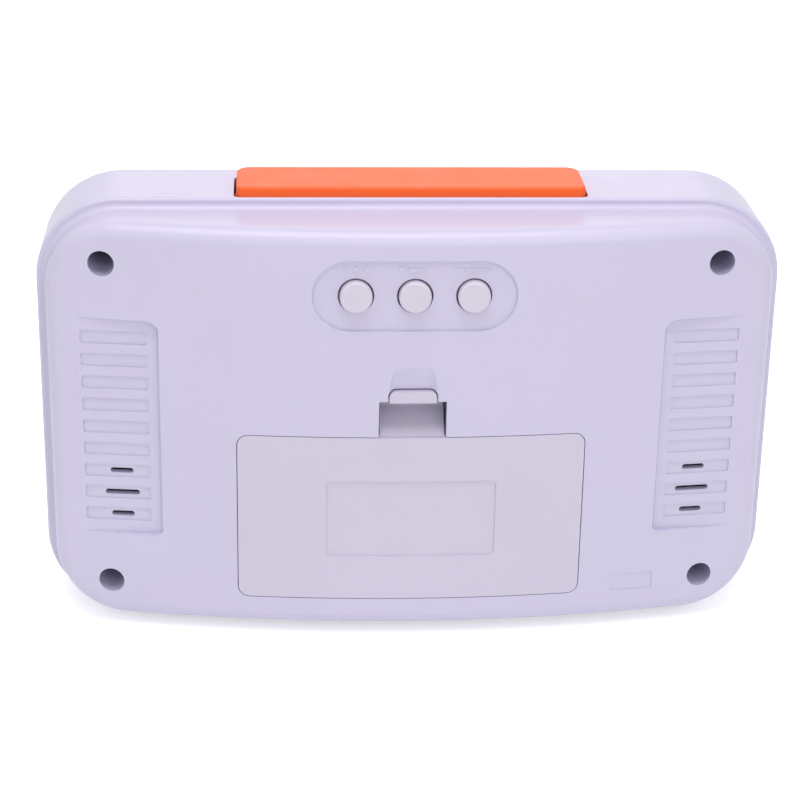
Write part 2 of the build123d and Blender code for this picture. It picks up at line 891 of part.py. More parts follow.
def grip_recess(side):
    """Cutter for one grip: a flat floor that fades out towards the case's end."""
    mid = (grip_top + grip_bottom) / 2
    reach = case_width / 2 - grip_inner
    with BuildPart() as cutter:
        with BuildSketch(rear_view(edge_y)):
            with Locations((-side * (grip_inner - grip_slant + reach / 2), mid)):
                Rectangle(reach, grip_top - grip_bottom)
        extrude(amount=apex_y - edge_y + overrun)
        inner_edges = cutter.edges().filter_by(Axis.Y).group_by(Axis.X)[0 if side > 0 else -1]
        fillet(inner_edges.sort_by(Axis.Z)[-1], grip_corner_top)
        low_edges = cutter.edges().filter_by(Axis.Y).group_by(Axis.X)[0 if side > 0 else -1]
        fillet(low_edges.sort_by(Axis.Z)[0], grip_corner_bottom)
        add(grip_plan(side, 0, grip_slant, grip_inner, case_width / 2))
        extrude(amount=case_height, dir=(0, 0, 1), mode=Mode.INTERSECT)
    return cutter.part


def grip_backing(side):
    """Pad inside the shell that keeps the wall whole under a grip."""
    with BuildPart() as pad:
        with BuildSketch(rear_view(edge_y)):
            near = grip_inner - grip_pad_border
            with Locations((-side * (near + grip_fade) / 2, (grip_top + grip_bottom) / 2)):
                Rectangle(grip_fade - near, grip_top - grip_bottom + 2 * grip_pad_border)
        extrude(amount=apex_y - edge_y + overrun)
        add(grip_plan(side, grip_pad, grip_slant, grip_inner, grip_fade))
        extrude(amount=case_height, dir=(0, 0, 1), mode=Mode.INTERSECT)
        add(skin_block(wall / 2, overrun), mode=Mode.SUBTRACT)
    return pad.part


def grip_rows(side):
    """Cutter for the shallow rows of one grip, sunk along its flat floor."""
    with BuildPart() as cutter:
        with BuildSketch(rear_view(edge_y)):
            with Locations((-side * row_x, row_mid)):
                with GridLocations(0, row_pitch, 1, row_count):
                    RectangleRounded(row_width, row_height, row_corner)
        extrude(amount=apex_y - edge_y + overrun)
        add(grip_plan(side, row_depth, grip_slant, grip_inner, case_width / 2))
        extrude(amount=case_height, dir=(0, 0, 1), mode=Mode.INTERSECT)
    return cutter.part


def grip_vents(side):
    """Cutter for the three through slots in the lowest rows of one grip."""
    low = row_mid - (row_count - 1) / 2 * row_pitch
    with BuildPart() as cutter:
        with BuildSketch(rear_view(edge_y)):
            for step, length in ((0, vent_short), (1, vent_long), (2, vent_short)):
                with Locations((-side * vent_x, low + step * row_pitch)):
                    SlotOverall(length, vent_height)
        extrude(amount=apex_y - edge_y + overrun)
    return cutter.part


def shelf_block(x):
    """Shelf on two gussets that carries a bar spring, hung from the panel's top wall."""
    rear_y = shelf_front_y + shelf_reach
    step_y = edge_y + hair
    roof_z = case_height - panel_step - wall / 2
    with BuildPart() as block:
        with BuildSketch(Plane.XY.offset(shelf_z - shelf_thick)):
            with Locations((x, (shelf_front_y + rear_y) / 2)):
                Rectangle(2 * shelf_half, shelf_reach)
        extrude(amount=shelf_thick)
        for side in (-1, 1):
            gusset_x = x + side * (shelf_half - gusset_thick / 2)
            with BuildSketch(Plane((gusset_x, 0, 0), x_dir=(0, 1, 0), z_dir=(1, 0, 0))):
                with BuildLine():
                    Polyline(
                        (shelf_front_y, shelf_z - shelf_thick),
                        (rear_y, shelf_z - shelf_thick),
                        (rear_y, roof_z),
                        (step_y, roof_z),
                        (step_y, shelf_z + gusset_rise),
                        (shelf_front_y, shelf_z + gusset_rise),
                        (shelf_front_y, shelf_z - shelf_thick),
                    )
                make_face()
            extrude(amount=gusset_thick / 2, both=True)
        with BuildSketch(Plane.XY.offset(shelf_z)):
            with Locations((x, bar_mid_y)):
                Circle(spring_pin_radius)
        extrude(amount=spring_pin_height)
    return block.part


def seam_lip():
    """Ring inside the rear shell that reaches into the front shell."""
    with BuildPart() as ring:
        for inset, start_y, length in (
            (wall - hair, seam_y, lip_root),
            (wall + lip_gap, seam_y - lip_reach, lip_reach + lip_root),
        ):
            with BuildSketch(rear_view(start_y)):
                RectangleRounded(case_width - 2 * inset, case_height - 2 * inset, case_corner - inset)
                RectangleRounded(
                    case_width - 2 * (wall + lip_thick),
                    case_height - 2 * (wall + lip_thick),
                    case_corner - wall - lip_thick,
                    mode=Mode.SUBTRACT,
                )
            extrude(amount=length)
    return ring.part


speaker_axis = Axis((speaker_x, 0, mid_z - speaker_drop), (0, 1, 0))
speaker_plane = Plane((speaker_x, 0, mid_z - speaker_drop), x_dir=(1, 0, 0), z_dir=(0, 0, 1))
speaker_post_places = [
    (-speaker_x, -speaker_drop + side * (speaker_radius + speaker_post_set)) for side in (-1, 1)
]
speaker_rim_y = speaker_seat_y - speaker_lip
speaker_place = (-speaker_x, -speaker_drop)


def inner_fittings():
    """Posts, walls and rings inside the rear shell, before its hollows are cut."""
    with BuildPart() as block:
        with BuildSketch(rear_view(meet_y)):
            with Locations(*well_places):
                Circle(well_radius)
        extrude(amount=apex_y - meet_y)
        with BuildSketch(rear_view(bay_front_y)):
            with Locations((0, door_mid)):
                Rectangle(2 * (bay_half + bay_wall), bay_top - bay_bottom + 2 * bay_wall)
        extrude(amount=apex_y - bay_front_y)
        with BuildSketch(rear_view(apex_y - door_thick - door_flange - wall)):
            with Locations((0, door_mid)):
                Rectangle(2 * (door_half + bay_wall), door_height + 2 * bay_wall)
        extrude(amount=door_flange + wall + door_thick)
        with BuildSketch(rear_view(apex_y - door_thick / 2 - leaf_depth - leaf_thick - latch_wall)):
            with Locations((0, (door_top + tab_top + latch_room) / 2)):
                Rectangle(
                    2 * (notch_half + latch_room + latch_wall),
                    tab_top + latch_room - door_top + 2 * latch_wall,
                )
        extrude(amount=apex_y)
        with BuildSketch(rear_view(key_board_y)):
            with Locations((-key_post_x, key_rise), (key_post_x, key_rise)):
                Circle(key_post_radius)
        extrude(amount=apex_y - key_board_y)
        with BuildSketch(rear_view(speaker_rim_y)):
            with Locations(*speaker_post_places):
                Circle(speaker_post_radius)
            with Locations(speaker_place):
                Circle(speaker_radius + speaker_ring_gap + speaker_ring_wall)
                Circle(speaker_radius + speaker_ring_gap, mode=Mode.SUBTRACT)
        extrude(amount=apex_y - speaker_rim_y)
        with BuildSketch(rear_view(speaker_seat_y)):
            with Locations(speaker_place):
                Circle(speaker_radius + speaker_ring_gap + speaker_ring_wall)
                Circle(speaker_radius - speaker_ledge, mode=Mode.SUBTRACT)
            with Locations(*speaker_post_places):
                Circle(speaker_post_radius)
        extrude(amount=apex_y - speaker_seat_y)
        add(grip_backing(-1))
        add(grip_backing(1))
        add(back_form(wall / 2, seam_y - lip_reach), mode=Mode.INTERSECT)
    return block.part


def scoop_cutter():
    """Cutter for the soft finger scoop above the latch tab, turned about an axis along X."""
    ball = (scoop_height * scoop_height + scoop_depth * scoop_depth) / (2 * scoop_depth)
    deep_y = apex_y - scoop_depth
    axis_y = deep_y + ball
    with BuildPart() as cutter:
        with BuildSketch(Plane.XY.offset(mid_z + tab_top)):
            with BuildLine():
                FilletPolyline(
                    (-scoop_half, axis_y),
                    (-scoop_half, deep_y),
                    (scoop_half, deep_y),
                    (scoop_half, axis_y),
                    radius=scoop_round,
                )
                Line((scoop_half, axis_y), (-scoop_half, axis_y))
            make_face()
        revolve(axis=Axis((0, axis_y, mid_z + tab_top), (1, 0, 0)))
    return cutter.part


def bay_cutter():
    """Cutter for the cells' room, the door's seat, its tongue slots and the latch's pocket."""
    latch_floor_y = apex_y - door_thick / 2 - leaf_depth - leaf_thick
    with BuildPart() as cutter:
        with BuildSketch(rear_view(bay_floor_y)):
            with Locations((0, door_mid)):
                Rectangle(2 * bay_half, bay_top - bay_bottom)
        extrude(amount=apex_y)
        with BuildSketch(rear_view(latch_floor_y)):
            with Locations((0, (door_top + tab_top + latch_room) / 2)):
                Rectangle(2 * (leaf_half + latch_room), tab_top + latch_room - door_top)
        extrude(amount=apex_y - wall - latch_floor_y)
        with BuildSketch(rear_view(latch_floor_y)):
            with Locations((0, (door_top + notch_top) / 2 - leaf_thick)):
                Rectangle(2 * notch_half, notch_top - door_top + 2 * leaf_thick)
            with Locations((0, (leaf_slope + tab_top + tab_gap) / 2)):
                RectangleRounded(
                    2 * (tab_half + tab_gap), tab_top + tab_gap - leaf_slope, tab_corner + tab_gap
                )
        extrude(amount=apex_y)
        slot_top_y = back_y(tongue_x + tongue_width / 2, wall)
        slot_height = tongue_thick + tongue_gap + tongue_swing
        with BuildSketch(rear_view(slot_top_y - slot_height)):
            with Locations((-tongue_x, door_bottom), (tongue_x, door_bottom)):
                Rectangle(tongue_width + 2 * tongue_gap, 2 * (tongue_reach + tongue_gap))
        extrude(amount=slot_height)
        root_reach = tongue_reach + tongue_gap
        with BuildSketch(rear_view(slot_top_y - slot_height)):
            for side in (-1, 1):
                with Locations((side * tongue_x, door_bottom + root_reach / 2)):
                    Rectangle(tongue_width + 2 * tongue_gap, root_reach)
        extrude(amount=slot_height + door_thick / 2)
    return cutter.part


with BuildSketch(rear_view(edge_y)) as door_outline:
    with Locations((0, door_mid)):
        RectangleRounded(2 * (door_half + door_gap), door_height + 2 * door_gap, door_corner + door_gap)

with BuildSketch(rear_view(edge_y)) as key_outline:
    with Locations((0, key_rise)):
        SlotOverall(key_recess_width, key_recess_height)

with BuildSketch(rear_view(edge_y)) as label_outline:
    with Locations((label_x, -label_drop)):
        RectangleRounded(label_width, label_height, label_corner)


def step_edges(shell, inner):
    """Edges where the band steps in to the panel: the panel's foot, or the band's rim."""
    found = []
    for edge in shell.edges().filter_by_position(Axis.Y, edge_y - hair, edge_y + hair):
        box = edge.bounding_box()
        inside_z = box.min.Z > hair and box.max.Z < case_height - hair
        inside_x = abs(edge.center().X) < case_width / 2 - hair
        if (inside_z and inside_x) == inner:
            found.append(edge)
    return found


# Rear shell
with BuildPart() as rear_shell:
    add(back_form(0, seam_y))
    fillet(step_edges(rear_shell, True), cove_round)
    fillet(step_edges(rear_shell, False), rim_round)
    chamfer(rear_shell.faces().sort_by(Axis.Y)[0].edges(), seam_bevel)
    add(back_form(wall, seam_y - overrun), mode=Mode.SUBTRACT)
    add(inner_fittings())
    add(seam_lip())
    add(shelf_block(-spring_x))
    add(shelf_block(spring_x))
    add(bay_cutter(), mode=Mode.SUBTRACT)
    add(skin_recess(door_outline.sketch, door_thick + door_seat_gap), mode=Mode.SUBTRACT)
    add(skin_recess(key_outline.sketch, key_recess_depth), mode=Mode.SUBTRACT)
    add(skin_recess(label_outline.sketch, label_depth), mode=Mode.SUBTRACT)
    add(scoop_cutter(), mode=Mode.SUBTRACT)
    for side in (-1, 1):
        add(grip_recess(side), mode=Mode.SUBTRACT)
        add(grip_rows(side), mode=Mode.SUBTRACT)
        add(grip_vents(side), mode=Mode.SUBTRACT)
    key_places = [(step * key_pitch, key_rise) for step in (-1, 0, 1)]
    add(pin(rear_view(key_flange_y), key_places, key_radius + key_hole_gap, apex_y), mode=Mode.SUBTRACT)
    add(pin(rear_view(meet_y + well_floor), well_places, well_bore, apex_y), mode=Mode.SUBTRACT)
    add(
        pin(rear_view(meet_y - overrun), well_places, screw_radius + screw_pass, apex_y),
        mode=Mode.SUBTRACT,
    )
    key_post_places = [(-key_post_x, key_rise), (key_post_x, key_rise)]
    add(
        pin(rear_view(key_board_y), key_post_places, small_screw_radius + thread_gap, small_screw_grip),
        mode=Mode.SUBTRACT,
    )
    add(
        pin(
            rear_view(speaker_rim_y), speaker_post_places, small_screw_radius + thread_gap, small_screw_grip
        ),
        mode=Mode.SUBTRACT,
    )
    lead_places = [(-cell_lead_x, low_cell_rise), (-cell_lead_x, high_cell_rise)]
    add(
        pin(rear_view(bay_floor_y), lead_places, lead_radius + lead_gap, -2 * bay_floor),
        mode=Mode.SUBTRACT,
    )
    add(bar_slot(), mode=Mode.SUBTRACT)

# Housing screws in the wells
with BuildPart() as housing_screws:
    add(
        screws(
            rear_view(meet_y + well_floor), well_places, screw_head_radius, screw_head_thick,
            screw_radius, well_floor + screw_reach,
        )
    )


def key_cap(step):
    """Key with a round proud cap, an inner flange and a stem over its switch."""
    place = (step * key_pitch, key_rise)
    with BuildPart() as key:
        with BuildSketch(rear_view(key_flange_y - key_flange_thick)):
            with Locations(place):
                Circle(key_flange)
        extrude(amount=key_flange_thick)
        with BuildSketch(rear_view(key_stem_y)):
            with Locations(place):
                Circle(key_stem_radius)
        extrude(amount=key_plunger_reach)
        with BuildSketch(rear_view(key_flange_y)):
            with Locations(place):
                Circle(key_radius)
        extrude(amount=key_top_y - key_flange_y)
        fillet(key.edges().group_by(Axis.Y)[-1], key_edge)
    return key.part


def key_plunger(step):
    """Plunger of a key's switch, held against the key's stem."""
    return pin(
        rear_view(key_stem_y - key_plunger_reach - key_plunger_sink),
        [(step * key_pitch, key_rise)],
        key_plunger_radius,
        key_plunger_reach + key_plunger_sink,
    )


with BuildPart() as mode_key:
    add(key_cap(-1))

with BuildPart() as hour_key:
    add(key_cap(0))

with BuildPart() as minute_key:
    add(key_cap(1))

with BuildPart() as mode_plunger:
    add(key_plunger(-1))

with BuildPart() as hour_plunger:
    add(key_plunger(0))

with BuildPart() as minute_plunger:
    add(key_plunger(1))

# Key board with three switch bodies, bored for their plungers
with BuildPart() as key_board:
    with BuildSketch(rear_view(key_board_y)):
        with Locations((0, key_rise)):
            RectangleRounded(key_board_width, key_board_height, key_board_corner)
        with Locations((-key_post_x, key_rise), (key_post_x, key_rise)):
            Circle(small_screw_radius + screw_pass, mode=Mode.SUBTRACT)
    extrude(amount=-key_board_thick)

with BuildPart() as key_switches:
    with BuildSketch(rear_view(key_board_y)):
        with Locations((0, key_rise)):
            with GridLocations(key_pitch, 0, 3, 1):
                Rectangle(key_switch_side, key_switch_side)
    extrude(amount=key_switch_height)
    bore_depth = key_plunger_sink + key_travel + hair
    with BuildSketch(rear_view(key_board_y + key_switch_height - bore_depth)):
        with Locations((0, key_rise)):
            with GridLocations(key_pitch, 0, 3, 1):
                Circle(key_plunger_radius + plunger_gap)
    extrude(amount=bore_depth, mode=Mode.SUBTRACT)

with BuildPart() as key_board_screws:
    add(
        screws(
            front_view(key_board_y - key_board_thick), key_post_places, small_head_radius, small_head_thick,
            small_screw_radius, key_board_thick + small_screw_grip - hair,
        )
    )


def cell(side):
    """Round cell whose raised end points to the side, one above the other."""
    rise = door_mid + side * cell_pitch_half
    tip = side * (bay_half - contact_thick)
    base = Plane((tip, cell_y, mid_z + rise), x_dir=(0, 1, 0), z_dir=(-side, 0, 0))
    with BuildPart() as body:
        with BuildSketch(base):
            Circle(cell_nub_radius)
        extrude(amount=cell_length / 2)
        with BuildSketch(base.offset(cell_nub)):
            Circle(cell_radius)
        extrude(amount=cell_length - cell_nub)
        fillet(body.edges().filter_by(GeomType.CIRCLE).group_by(SortBy.LENGTH)[-1], cell_edge)
    return body.part


def cell_spring(side):
    """Cone spring between a cell's flat end and the bay's end wall."""
    rise = door_mid + side * cell_pitch_half
    end_x = bay_half - contact_thick
    base = Plane((-side * end_x, cell_y, mid_z + rise), x_dir=(0, 1, 0), z_dir=(side, 0, 0))
    room = 2 * end_x - cell_length
    foot = cell_spring_wire / 2 + spring_seat_gap
    return coil(
        base, foot, room - foot, cell_spring_base, cell_spring_tip, cell_spring_turns, cell_spring_wire
    )


with BuildPart() as upper_cell:
    add(cell(1))

with BuildPart() as lower_cell:
    add(cell(-1))

with BuildPart() as upper_cell_spring:
    add(cell_spring(1))

with BuildPart() as lower_cell_spring:
    add(cell_spring(-1))


def contact_plate(side, low, high):
    """Contact plate on an end wall of the bay, from one height to another."""
    with BuildPart() as plate:
        with BuildSketch(side_view(side * (bay_half - contact_thick / 2))):
            with Locations((cell_y, (low + high) / 2)):
                Rectangle(contact_width, high - low)
        extrude(amount=contact_thick / 2, both=True)
    return plate.part


with BuildPart() as bridge_contact:
    add(contact_plate(-1, low_cell_rise - contact_width / 2, high_cell_rise + contact_width / 2))

with BuildPart() as positive_contact:
    add(contact_plate(1, high_cell_rise - contact_width / 2, high_cell_rise + contact_width / 2))

with BuildPart() as negative_contact:
    add(contact_plate(1, low_cell_rise - contact_width / 2, low_cell_rise + contact_width / 2))

# Speaker: basket, magnet, cone and dust cap turned about one axis
basket_y = speaker_seat_y - speaker_depth
with BuildPart() as speaker_basket:
    with BuildSketch(speaker_plane):
        with BuildLine():
            Polyline(
                (magnet_radius - speaker_lip, basket_y),
                (speaker_back_radius, basket_y),
                (speaker_radius - speaker_lip, speaker_rim_y),
                (speaker_radius, speaker_rim_y),
                (speaker_radius, speaker_seat_y),
                (speaker_radius - 2 * speaker_lip, speaker_seat_y),
                (speaker_back_radius - speaker_lip, basket_y + cone_thick + cone_gap),
                (magnet_radius - speaker_lip, basket_y + cone_thick + cone_gap),
                (magnet_radius - speaker_lip, basket_y),
            )
        make_face()
    revolve(axis=speaker_axis)
    with BuildSketch(rear_view(speaker_rim_y - terminal_thick)):
        with Locations((-speaker_x, -speaker_drop + terminal_rise)):
            Rectangle(terminal_width, terminal_height)
    extrude(amount=terminal_thick)

with BuildPart() as speaker_magnet:
    with BuildSketch(rear_view(basket_y)):
        with Locations(speaker_place):
            Circle(magnet_radius)
    extrude(amount=-magnet_thick)

cone_foot_y = basket_y + cone_thick + 2 * cone_gap
with BuildPart() as speaker_cone:
    with BuildSketch(speaker_plane):
        with BuildLine():
            Polyline(
                (0, cone_foot_y),
                (dust_cap_radius, cone_foot_y),
                (speaker_radius - 2 * speaker_lip, speaker_seat_y),
                (speaker_radius - speaker_lip, speaker_seat_y),
                (speaker_radius - speaker_lip, speaker_seat_y + cone_thick),
                (speaker_radius - 2 * speaker_lip - cone_thick, speaker_seat_y + cone_thick),
                (dust_cap_radius - cone_thick / 2, cone_foot_y + cone_thick),
                (0, cone_foot_y + cone_thick),
                (0, cone_foot_y),
            )
        make_face()
    revolve(axis=speaker_axis)

with BuildPart() as speaker_dust_cap:
    cap_y = cone_foot_y + cone_thick
    cap_radius = dust_cap_radius - cone_thick
    cap_ball = (cap_radius * cap_radius + dust_cap_rise * dust_cap_rise) / (2 * dust_cap_rise)
    with BuildSketch(speaker_plane):
        with BuildLine():
            Line((0, cap_y), (cap_radius, cap_y))
            RadiusArc((cap_radius, cap_y), (0, cap_y + dust_cap_rise), -cap_ball)
            Line((0, cap_y + dust_cap_rise), (0, cap_y))
        make_face()
    revolve(axis=speaker_axis)

with BuildPart() as speaker_screws:
    add(
        screws(
            front_view(speaker_rim_y), [(-x, v) for x, v in speaker_post_places], speaker_head_radius,
            small_head_thick, small_screw_radius, small_screw_grip - hair,
        )
    )


def cell_lead(rise):
    """Lead from a cell contact's front edge through the bay's floor to the main board."""
    near_y = cell_y - contact_width / 2
    end_x = cell_lead_x + cell_lead_step
    z = mid_z + rise
    return lead(
        [
            (cell_lead_x, near_y, z),
            (cell_lead_x, lead_turn_y, z),
            (end_x, lead_turn_y, z),
            (end_x, board_back_y, z),
        ],
        lead_radius,
    )


def speaker_lead(x):
    """Lead from the speaker's terminal to the main board."""
    near_y = speaker_rim_y - terminal_thick
    z = mid_z - speaker_drop + terminal_rise
    end_z = z + speaker_lead_step
    return lead(
        [(x, near_y, z), (x, lead_turn_y, z), (x, lead_turn_y, end_z), (x, board_back_y, end_z)],
        lead_radius,
    )


with BuildPart() as red_lead:
    add(cell_lead(high_cell_rise))

with BuildPart() as black_lead:
    add(cell_lead(low_cell_rise))

with BuildPart() as speaker_leads:
    add(speaker_lead(speaker_x - speaker_lead_half))
    add(speaker_lead(speaker_x + speaker_lead_half))

# Flat ribbon from the key board down to the main board
ribbon_start_y = key_board_y - key_board_thick
with BuildPart() as ribbon_cable:
    with BuildSketch(side_view(0)):
        with BuildLine():
            FilletPolyline(
                (ribbon_start_y, ribbon_start),
                ((ribbon_start_y + board_back_y) / 2 + ribbon_bend, ribbon_start),
                ((ribbon_start_y + board_back_y) / 2 - ribbon_bend, ribbon_end),
                (board_back_y, ribbon_end),
                radius=ribbon_bend,
            )
        trace(line_width=ribbon_thick)
    extrude(amount=ribbon_width / 2, both=True)

pieces = {
    "front_shell": front_shell,
    "rear_shell": rear_shell,
    "display_lens": display_lens,
    "display_glass": display_glass,
    "light_guide": light_guide,
    "contact_strip": contact_strip,
    "display_holder": display_holder,
    "backlight_lamp": backlight_lamp,
    "main_board": main_board,
    "clock_chip": clock_chip,
    "quartz_crystal": quartz_crystal,
    "capacitors": capacitors,
    "resistors": resistors,
    "board_screws": board_screws,
    "talk_switch": talk_switch,
    "talk_plunger": talk_plunger,
    "talk_bar": talk_bar,
    "bar_spring_left": bar_spring_left,
    "bar_spring_right": bar_spring_right,
    "battery_door": battery_door,
    "housing_screws": housing_screws,
    "mode_key": mode_key,
    "hour_key": hour_key,
    "minute_key": minute_key,
    "mode_plunger": mode_plunger,
    "hour_plunger": hour_plunger,
    "minute_plunger": minute_plunger,
    "key_board": key_board,
    "key_switches": key_switches,
    "key_board_screws": key_board_screws,
    "upper_cell": upper_cell,
    "lower_cell": lower_cell,
    "upper_cell_spring": upper_cell_spring,
    "lower_cell_spring": lower_cell_spring,
    "bridge_contact": bridge_contact,
    "positive_contact": positive_contact,
    "negative_contact": negative_contact,
    "speaker_basket": speaker_basket,
    "speaker_magnet": speaker_magnet,
    "speaker_cone": speaker_cone,
    "speaker_dust_cap": speaker_dust_cap,
    "speaker_screws": speaker_screws,
    "ribbon_cable": ribbon_cable,
    "red_lead": red_lead,
    "black_lead": black_lead,
    "speaker_leads": speaker_leads,
}
for node, piece in pieces.items():
    save(piece, node)
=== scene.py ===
"""Looks of a talking table clock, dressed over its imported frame.

Sizes are millimetres in the frame's own axes and turned into metres where a mesh is made:
X to the right seen from the display, Y from the display to the bulged back, Z up.
"""

import logging
import math
from abc import ABC, abstractmethod
from dataclasses import dataclass, field
from enum import Enum
from typing import Iterable, Sequence

import bmesh
import bpy
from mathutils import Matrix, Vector


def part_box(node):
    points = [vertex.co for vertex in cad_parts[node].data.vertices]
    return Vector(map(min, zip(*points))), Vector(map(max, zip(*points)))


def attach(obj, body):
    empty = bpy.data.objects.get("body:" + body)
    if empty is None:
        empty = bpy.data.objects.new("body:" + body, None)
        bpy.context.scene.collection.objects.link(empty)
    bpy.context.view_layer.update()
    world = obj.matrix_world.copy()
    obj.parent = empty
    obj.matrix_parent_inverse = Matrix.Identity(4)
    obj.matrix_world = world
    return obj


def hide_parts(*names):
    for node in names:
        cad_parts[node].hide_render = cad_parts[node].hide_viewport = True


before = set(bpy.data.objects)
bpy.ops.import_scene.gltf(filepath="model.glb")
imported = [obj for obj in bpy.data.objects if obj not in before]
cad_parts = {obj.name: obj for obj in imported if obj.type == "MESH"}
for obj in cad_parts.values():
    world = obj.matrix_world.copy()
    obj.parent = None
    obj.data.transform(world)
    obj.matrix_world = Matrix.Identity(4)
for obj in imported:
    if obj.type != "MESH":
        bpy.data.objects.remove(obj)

LOG = logging.getLogger("talking_clock")
MM = 0.001
APEX_Y = 18.0
MID_Z = 40.8
BULGE_RADIUS = 276.0

Colour = tuple[int, int, int]
Point = tuple[float, float, float]
Spot = tuple[float, float]


def linear(colour: Colour, alpha: float = 1.0) -> tuple[float, float, float, float]:
    """Turns a colour written as 0 to 255 into linear values.

    Args:
        colour: Red, green and blue from 0 to 255.
        alpha: Opacity to add as the fourth value.

    Returns:
        Linear red, green, blue and the opacity.
    """
    values = []
    for part in colour:
        share = part / 255
        values.append(share / 12.92 if share <= 0.04045 else ((share + 0.055) / 1.055) ** 2.4)
    return (values[0], values[1], values[2], alpha)


def skin_y(x: float, depth: float = 0.0) -> float:
    """Y of the bulged back at x in millimetres, at a depth under its skin."""
    radius = BULGE_RADIUS - depth
    return APEX_Y - BULGE_RADIUS + math.sqrt(radius * radius - x * x)


class Texture(Enum):
    """Mould textures of plastic: bump height and grain size, both in millimetres."""

    POLISHED = (0.004, 2.2)
    SATIN = (0.008, 0.5)
    SPARK = (0.014, 0.32)


class ShaderTree:
    """Short calls that build the nodes of one material."""

    def __init__(self, name: str) -> None:
        """Starts a material with a Principled shader on Object coordinates.

        Args:
            name: The material's name.
        """
        self.material = bpy.data.materials.new(name)
        self.material.use_nodes = True
        self.nodes = self.material.node_tree.nodes
        self.links = self.material.node_tree.links
        self.nodes.clear()
        self.output = self.nodes.new("ShaderNodeOutputMaterial")
        self.surface = self.nodes.new("ShaderNodeBsdfPrincipled")
        self.links.new(self.surface.outputs["BSDF"], self.output.inputs["Surface"])
        self.place = self.nodes.new("ShaderNodeTexCoord").outputs["Object"]
        self.axes = self.nodes.new("ShaderNodeSeparateXYZ")
        self.links.new(self.place, self.axes.inputs[0])

    def feed(self, socket: bpy.types.NodeSocket, value: object) -> None:
        """Links a socket to another node's output, or sets it to a plain value."""
        if isinstance(value, bpy.types.NodeSocket):
            self.links.new(value, socket)
        else:
            socket.default_value = value

    def set(self, **values: object) -> None:
        """Feeds the Principled shader, with underscores for the blanks in socket names."""
        for key, value in values.items():
            self.feed(self.surface.inputs[key.replace("_", " ")], value)

    def sum(self, kind: str, first: object, second: object = 0.0) -> bpy.types.NodeSocket:
        """Adds a Math node.

        Args:
            kind: The node's operation, such as MULTIPLY.
            first: First value or socket.
            second: Second value or socket.

        Returns:
            The node's output.
        """
        node = self.nodes.new("ShaderNodeMath")
        node.operation = kind
        self.feed(node.inputs[0], first)
        self.feed(node.inputs[1], second)
        return node.outputs[0]

    def stretch(self, scale: Point) -> bpy.types.NodeSocket:
        """Object coordinates scaled by an amount per axis."""
        node = self.nodes.new("ShaderNodeMapping")
        node.inputs["Scale"].default_value = scale
        self.links.new(self.place, node.inputs["Vector"])
        return node.outputs[0]

    def noise(
        self, size: float, detail: float = 2.0, along: Point = (1.0, 1.0, 1.0)
    ) -> bpy.types.NodeSocket:
        """Adds noise whose lumps are about a size in millimetres.

        Args:
            size: Lump size in millimetres.
            detail: Octaves of detail.
            along: Stretch of the coordinates per axis.

        Returns:
            The factor output.
        """
        node = self.nodes.new("ShaderNodeTexNoise")
        node.inputs["Scale"].default_value = 1 / (size * MM)
        node.inputs["Detail"].default_value = detail
        self.links.new(self.stretch(along), node.inputs["Vector"])
        return node.outputs[0]

    def remap(self, value: object, low: float, high: float, start: float, end: float) -> bpy.types.NodeSocket:
        """Maps a value from one range to another, held at both ends."""
        node = self.nodes.new("ShaderNodeMapRange")
        self.feed(node.inputs["Value"], value)
        for key, number in (("From Min", low), ("From Max", high), ("To Min", start), ("To Max", end)):
            node.inputs[key].default_value = number
        return node.outputs[0]

    def blend(self, share: object, first: object, second: object) -> bpy.types.NodeSocket:
        """Mixes two colours.

        Args:
            share: How much of the second colour shows.
            first: Colour or socket at share 0.
            second: Colour or socket at share 1.

        Returns:
            The mixed colour.
        """
        node = self.nodes.new("ShaderNodeMix")
        node.data_type = "RGBA"
        self.feed(node.inputs["Factor"], share)
        self.feed(node.inputs[6], first)
        self.feed(node.inputs[7], second)
        return node.outputs[2]

    def bump(self, height: bpy.types.NodeSocket, rise: float, under: object = None) -> bpy.types.NodeSocket:
        """Adds a bump of a rise in millimetres, on top of another bump if one is given."""
        node = self.nodes.new("ShaderNodeBump")
        node.inputs["Distance"].default_value = rise * MM
        self.links.new(height, node.inputs["Height"])
        if under is not None:
            self.links.new(under, node.inputs["Normal"])
        self.links.new(node.outputs[0], self.surface.inputs["Normal"])
        return node.outputs[0]

    def box_edge(self, half_x: float, half_z: float, corner: float) -> bpy.types.NodeSocket:
        """Signed distance in metres from a rounded rectangle in X and Z round the case's middle.

        Args:
            half_x: Half width in millimetres.
            half_z: Half height in millimetres.
            corner: Corner radius in millimetres.

        Returns:
            The distance, negative inside the rectangle.
        """
        across = self.sum("ABSOLUTE", self.axes.outputs["X"])
        up = self.sum("ABSOLUTE", self.sum("SUBTRACT", self.axes.outputs["Z"], MID_Z * MM))
        far_x = self.sum("SUBTRACT", across, (half_x - corner) * MM)
        far_z = self.sum("SUBTRACT", up, (half_z - corner) * MM)
        out_x = self.sum("MAXIMUM", far_x, 0.0)
        out_z = self.sum("MAXIMUM", far_z, 0.0)
        squares = self.sum("ADD", self.sum("POWER", out_x, 2.0), self.sum("POWER", out_z, 2.0))
        inner = self.sum("MINIMUM", self.sum("MAXIMUM", far_x, far_z), 0.0)
        return self.sum("SUBTRACT", self.sum("ADD", self.sum("SQRT", squares), inner), corner * MM)


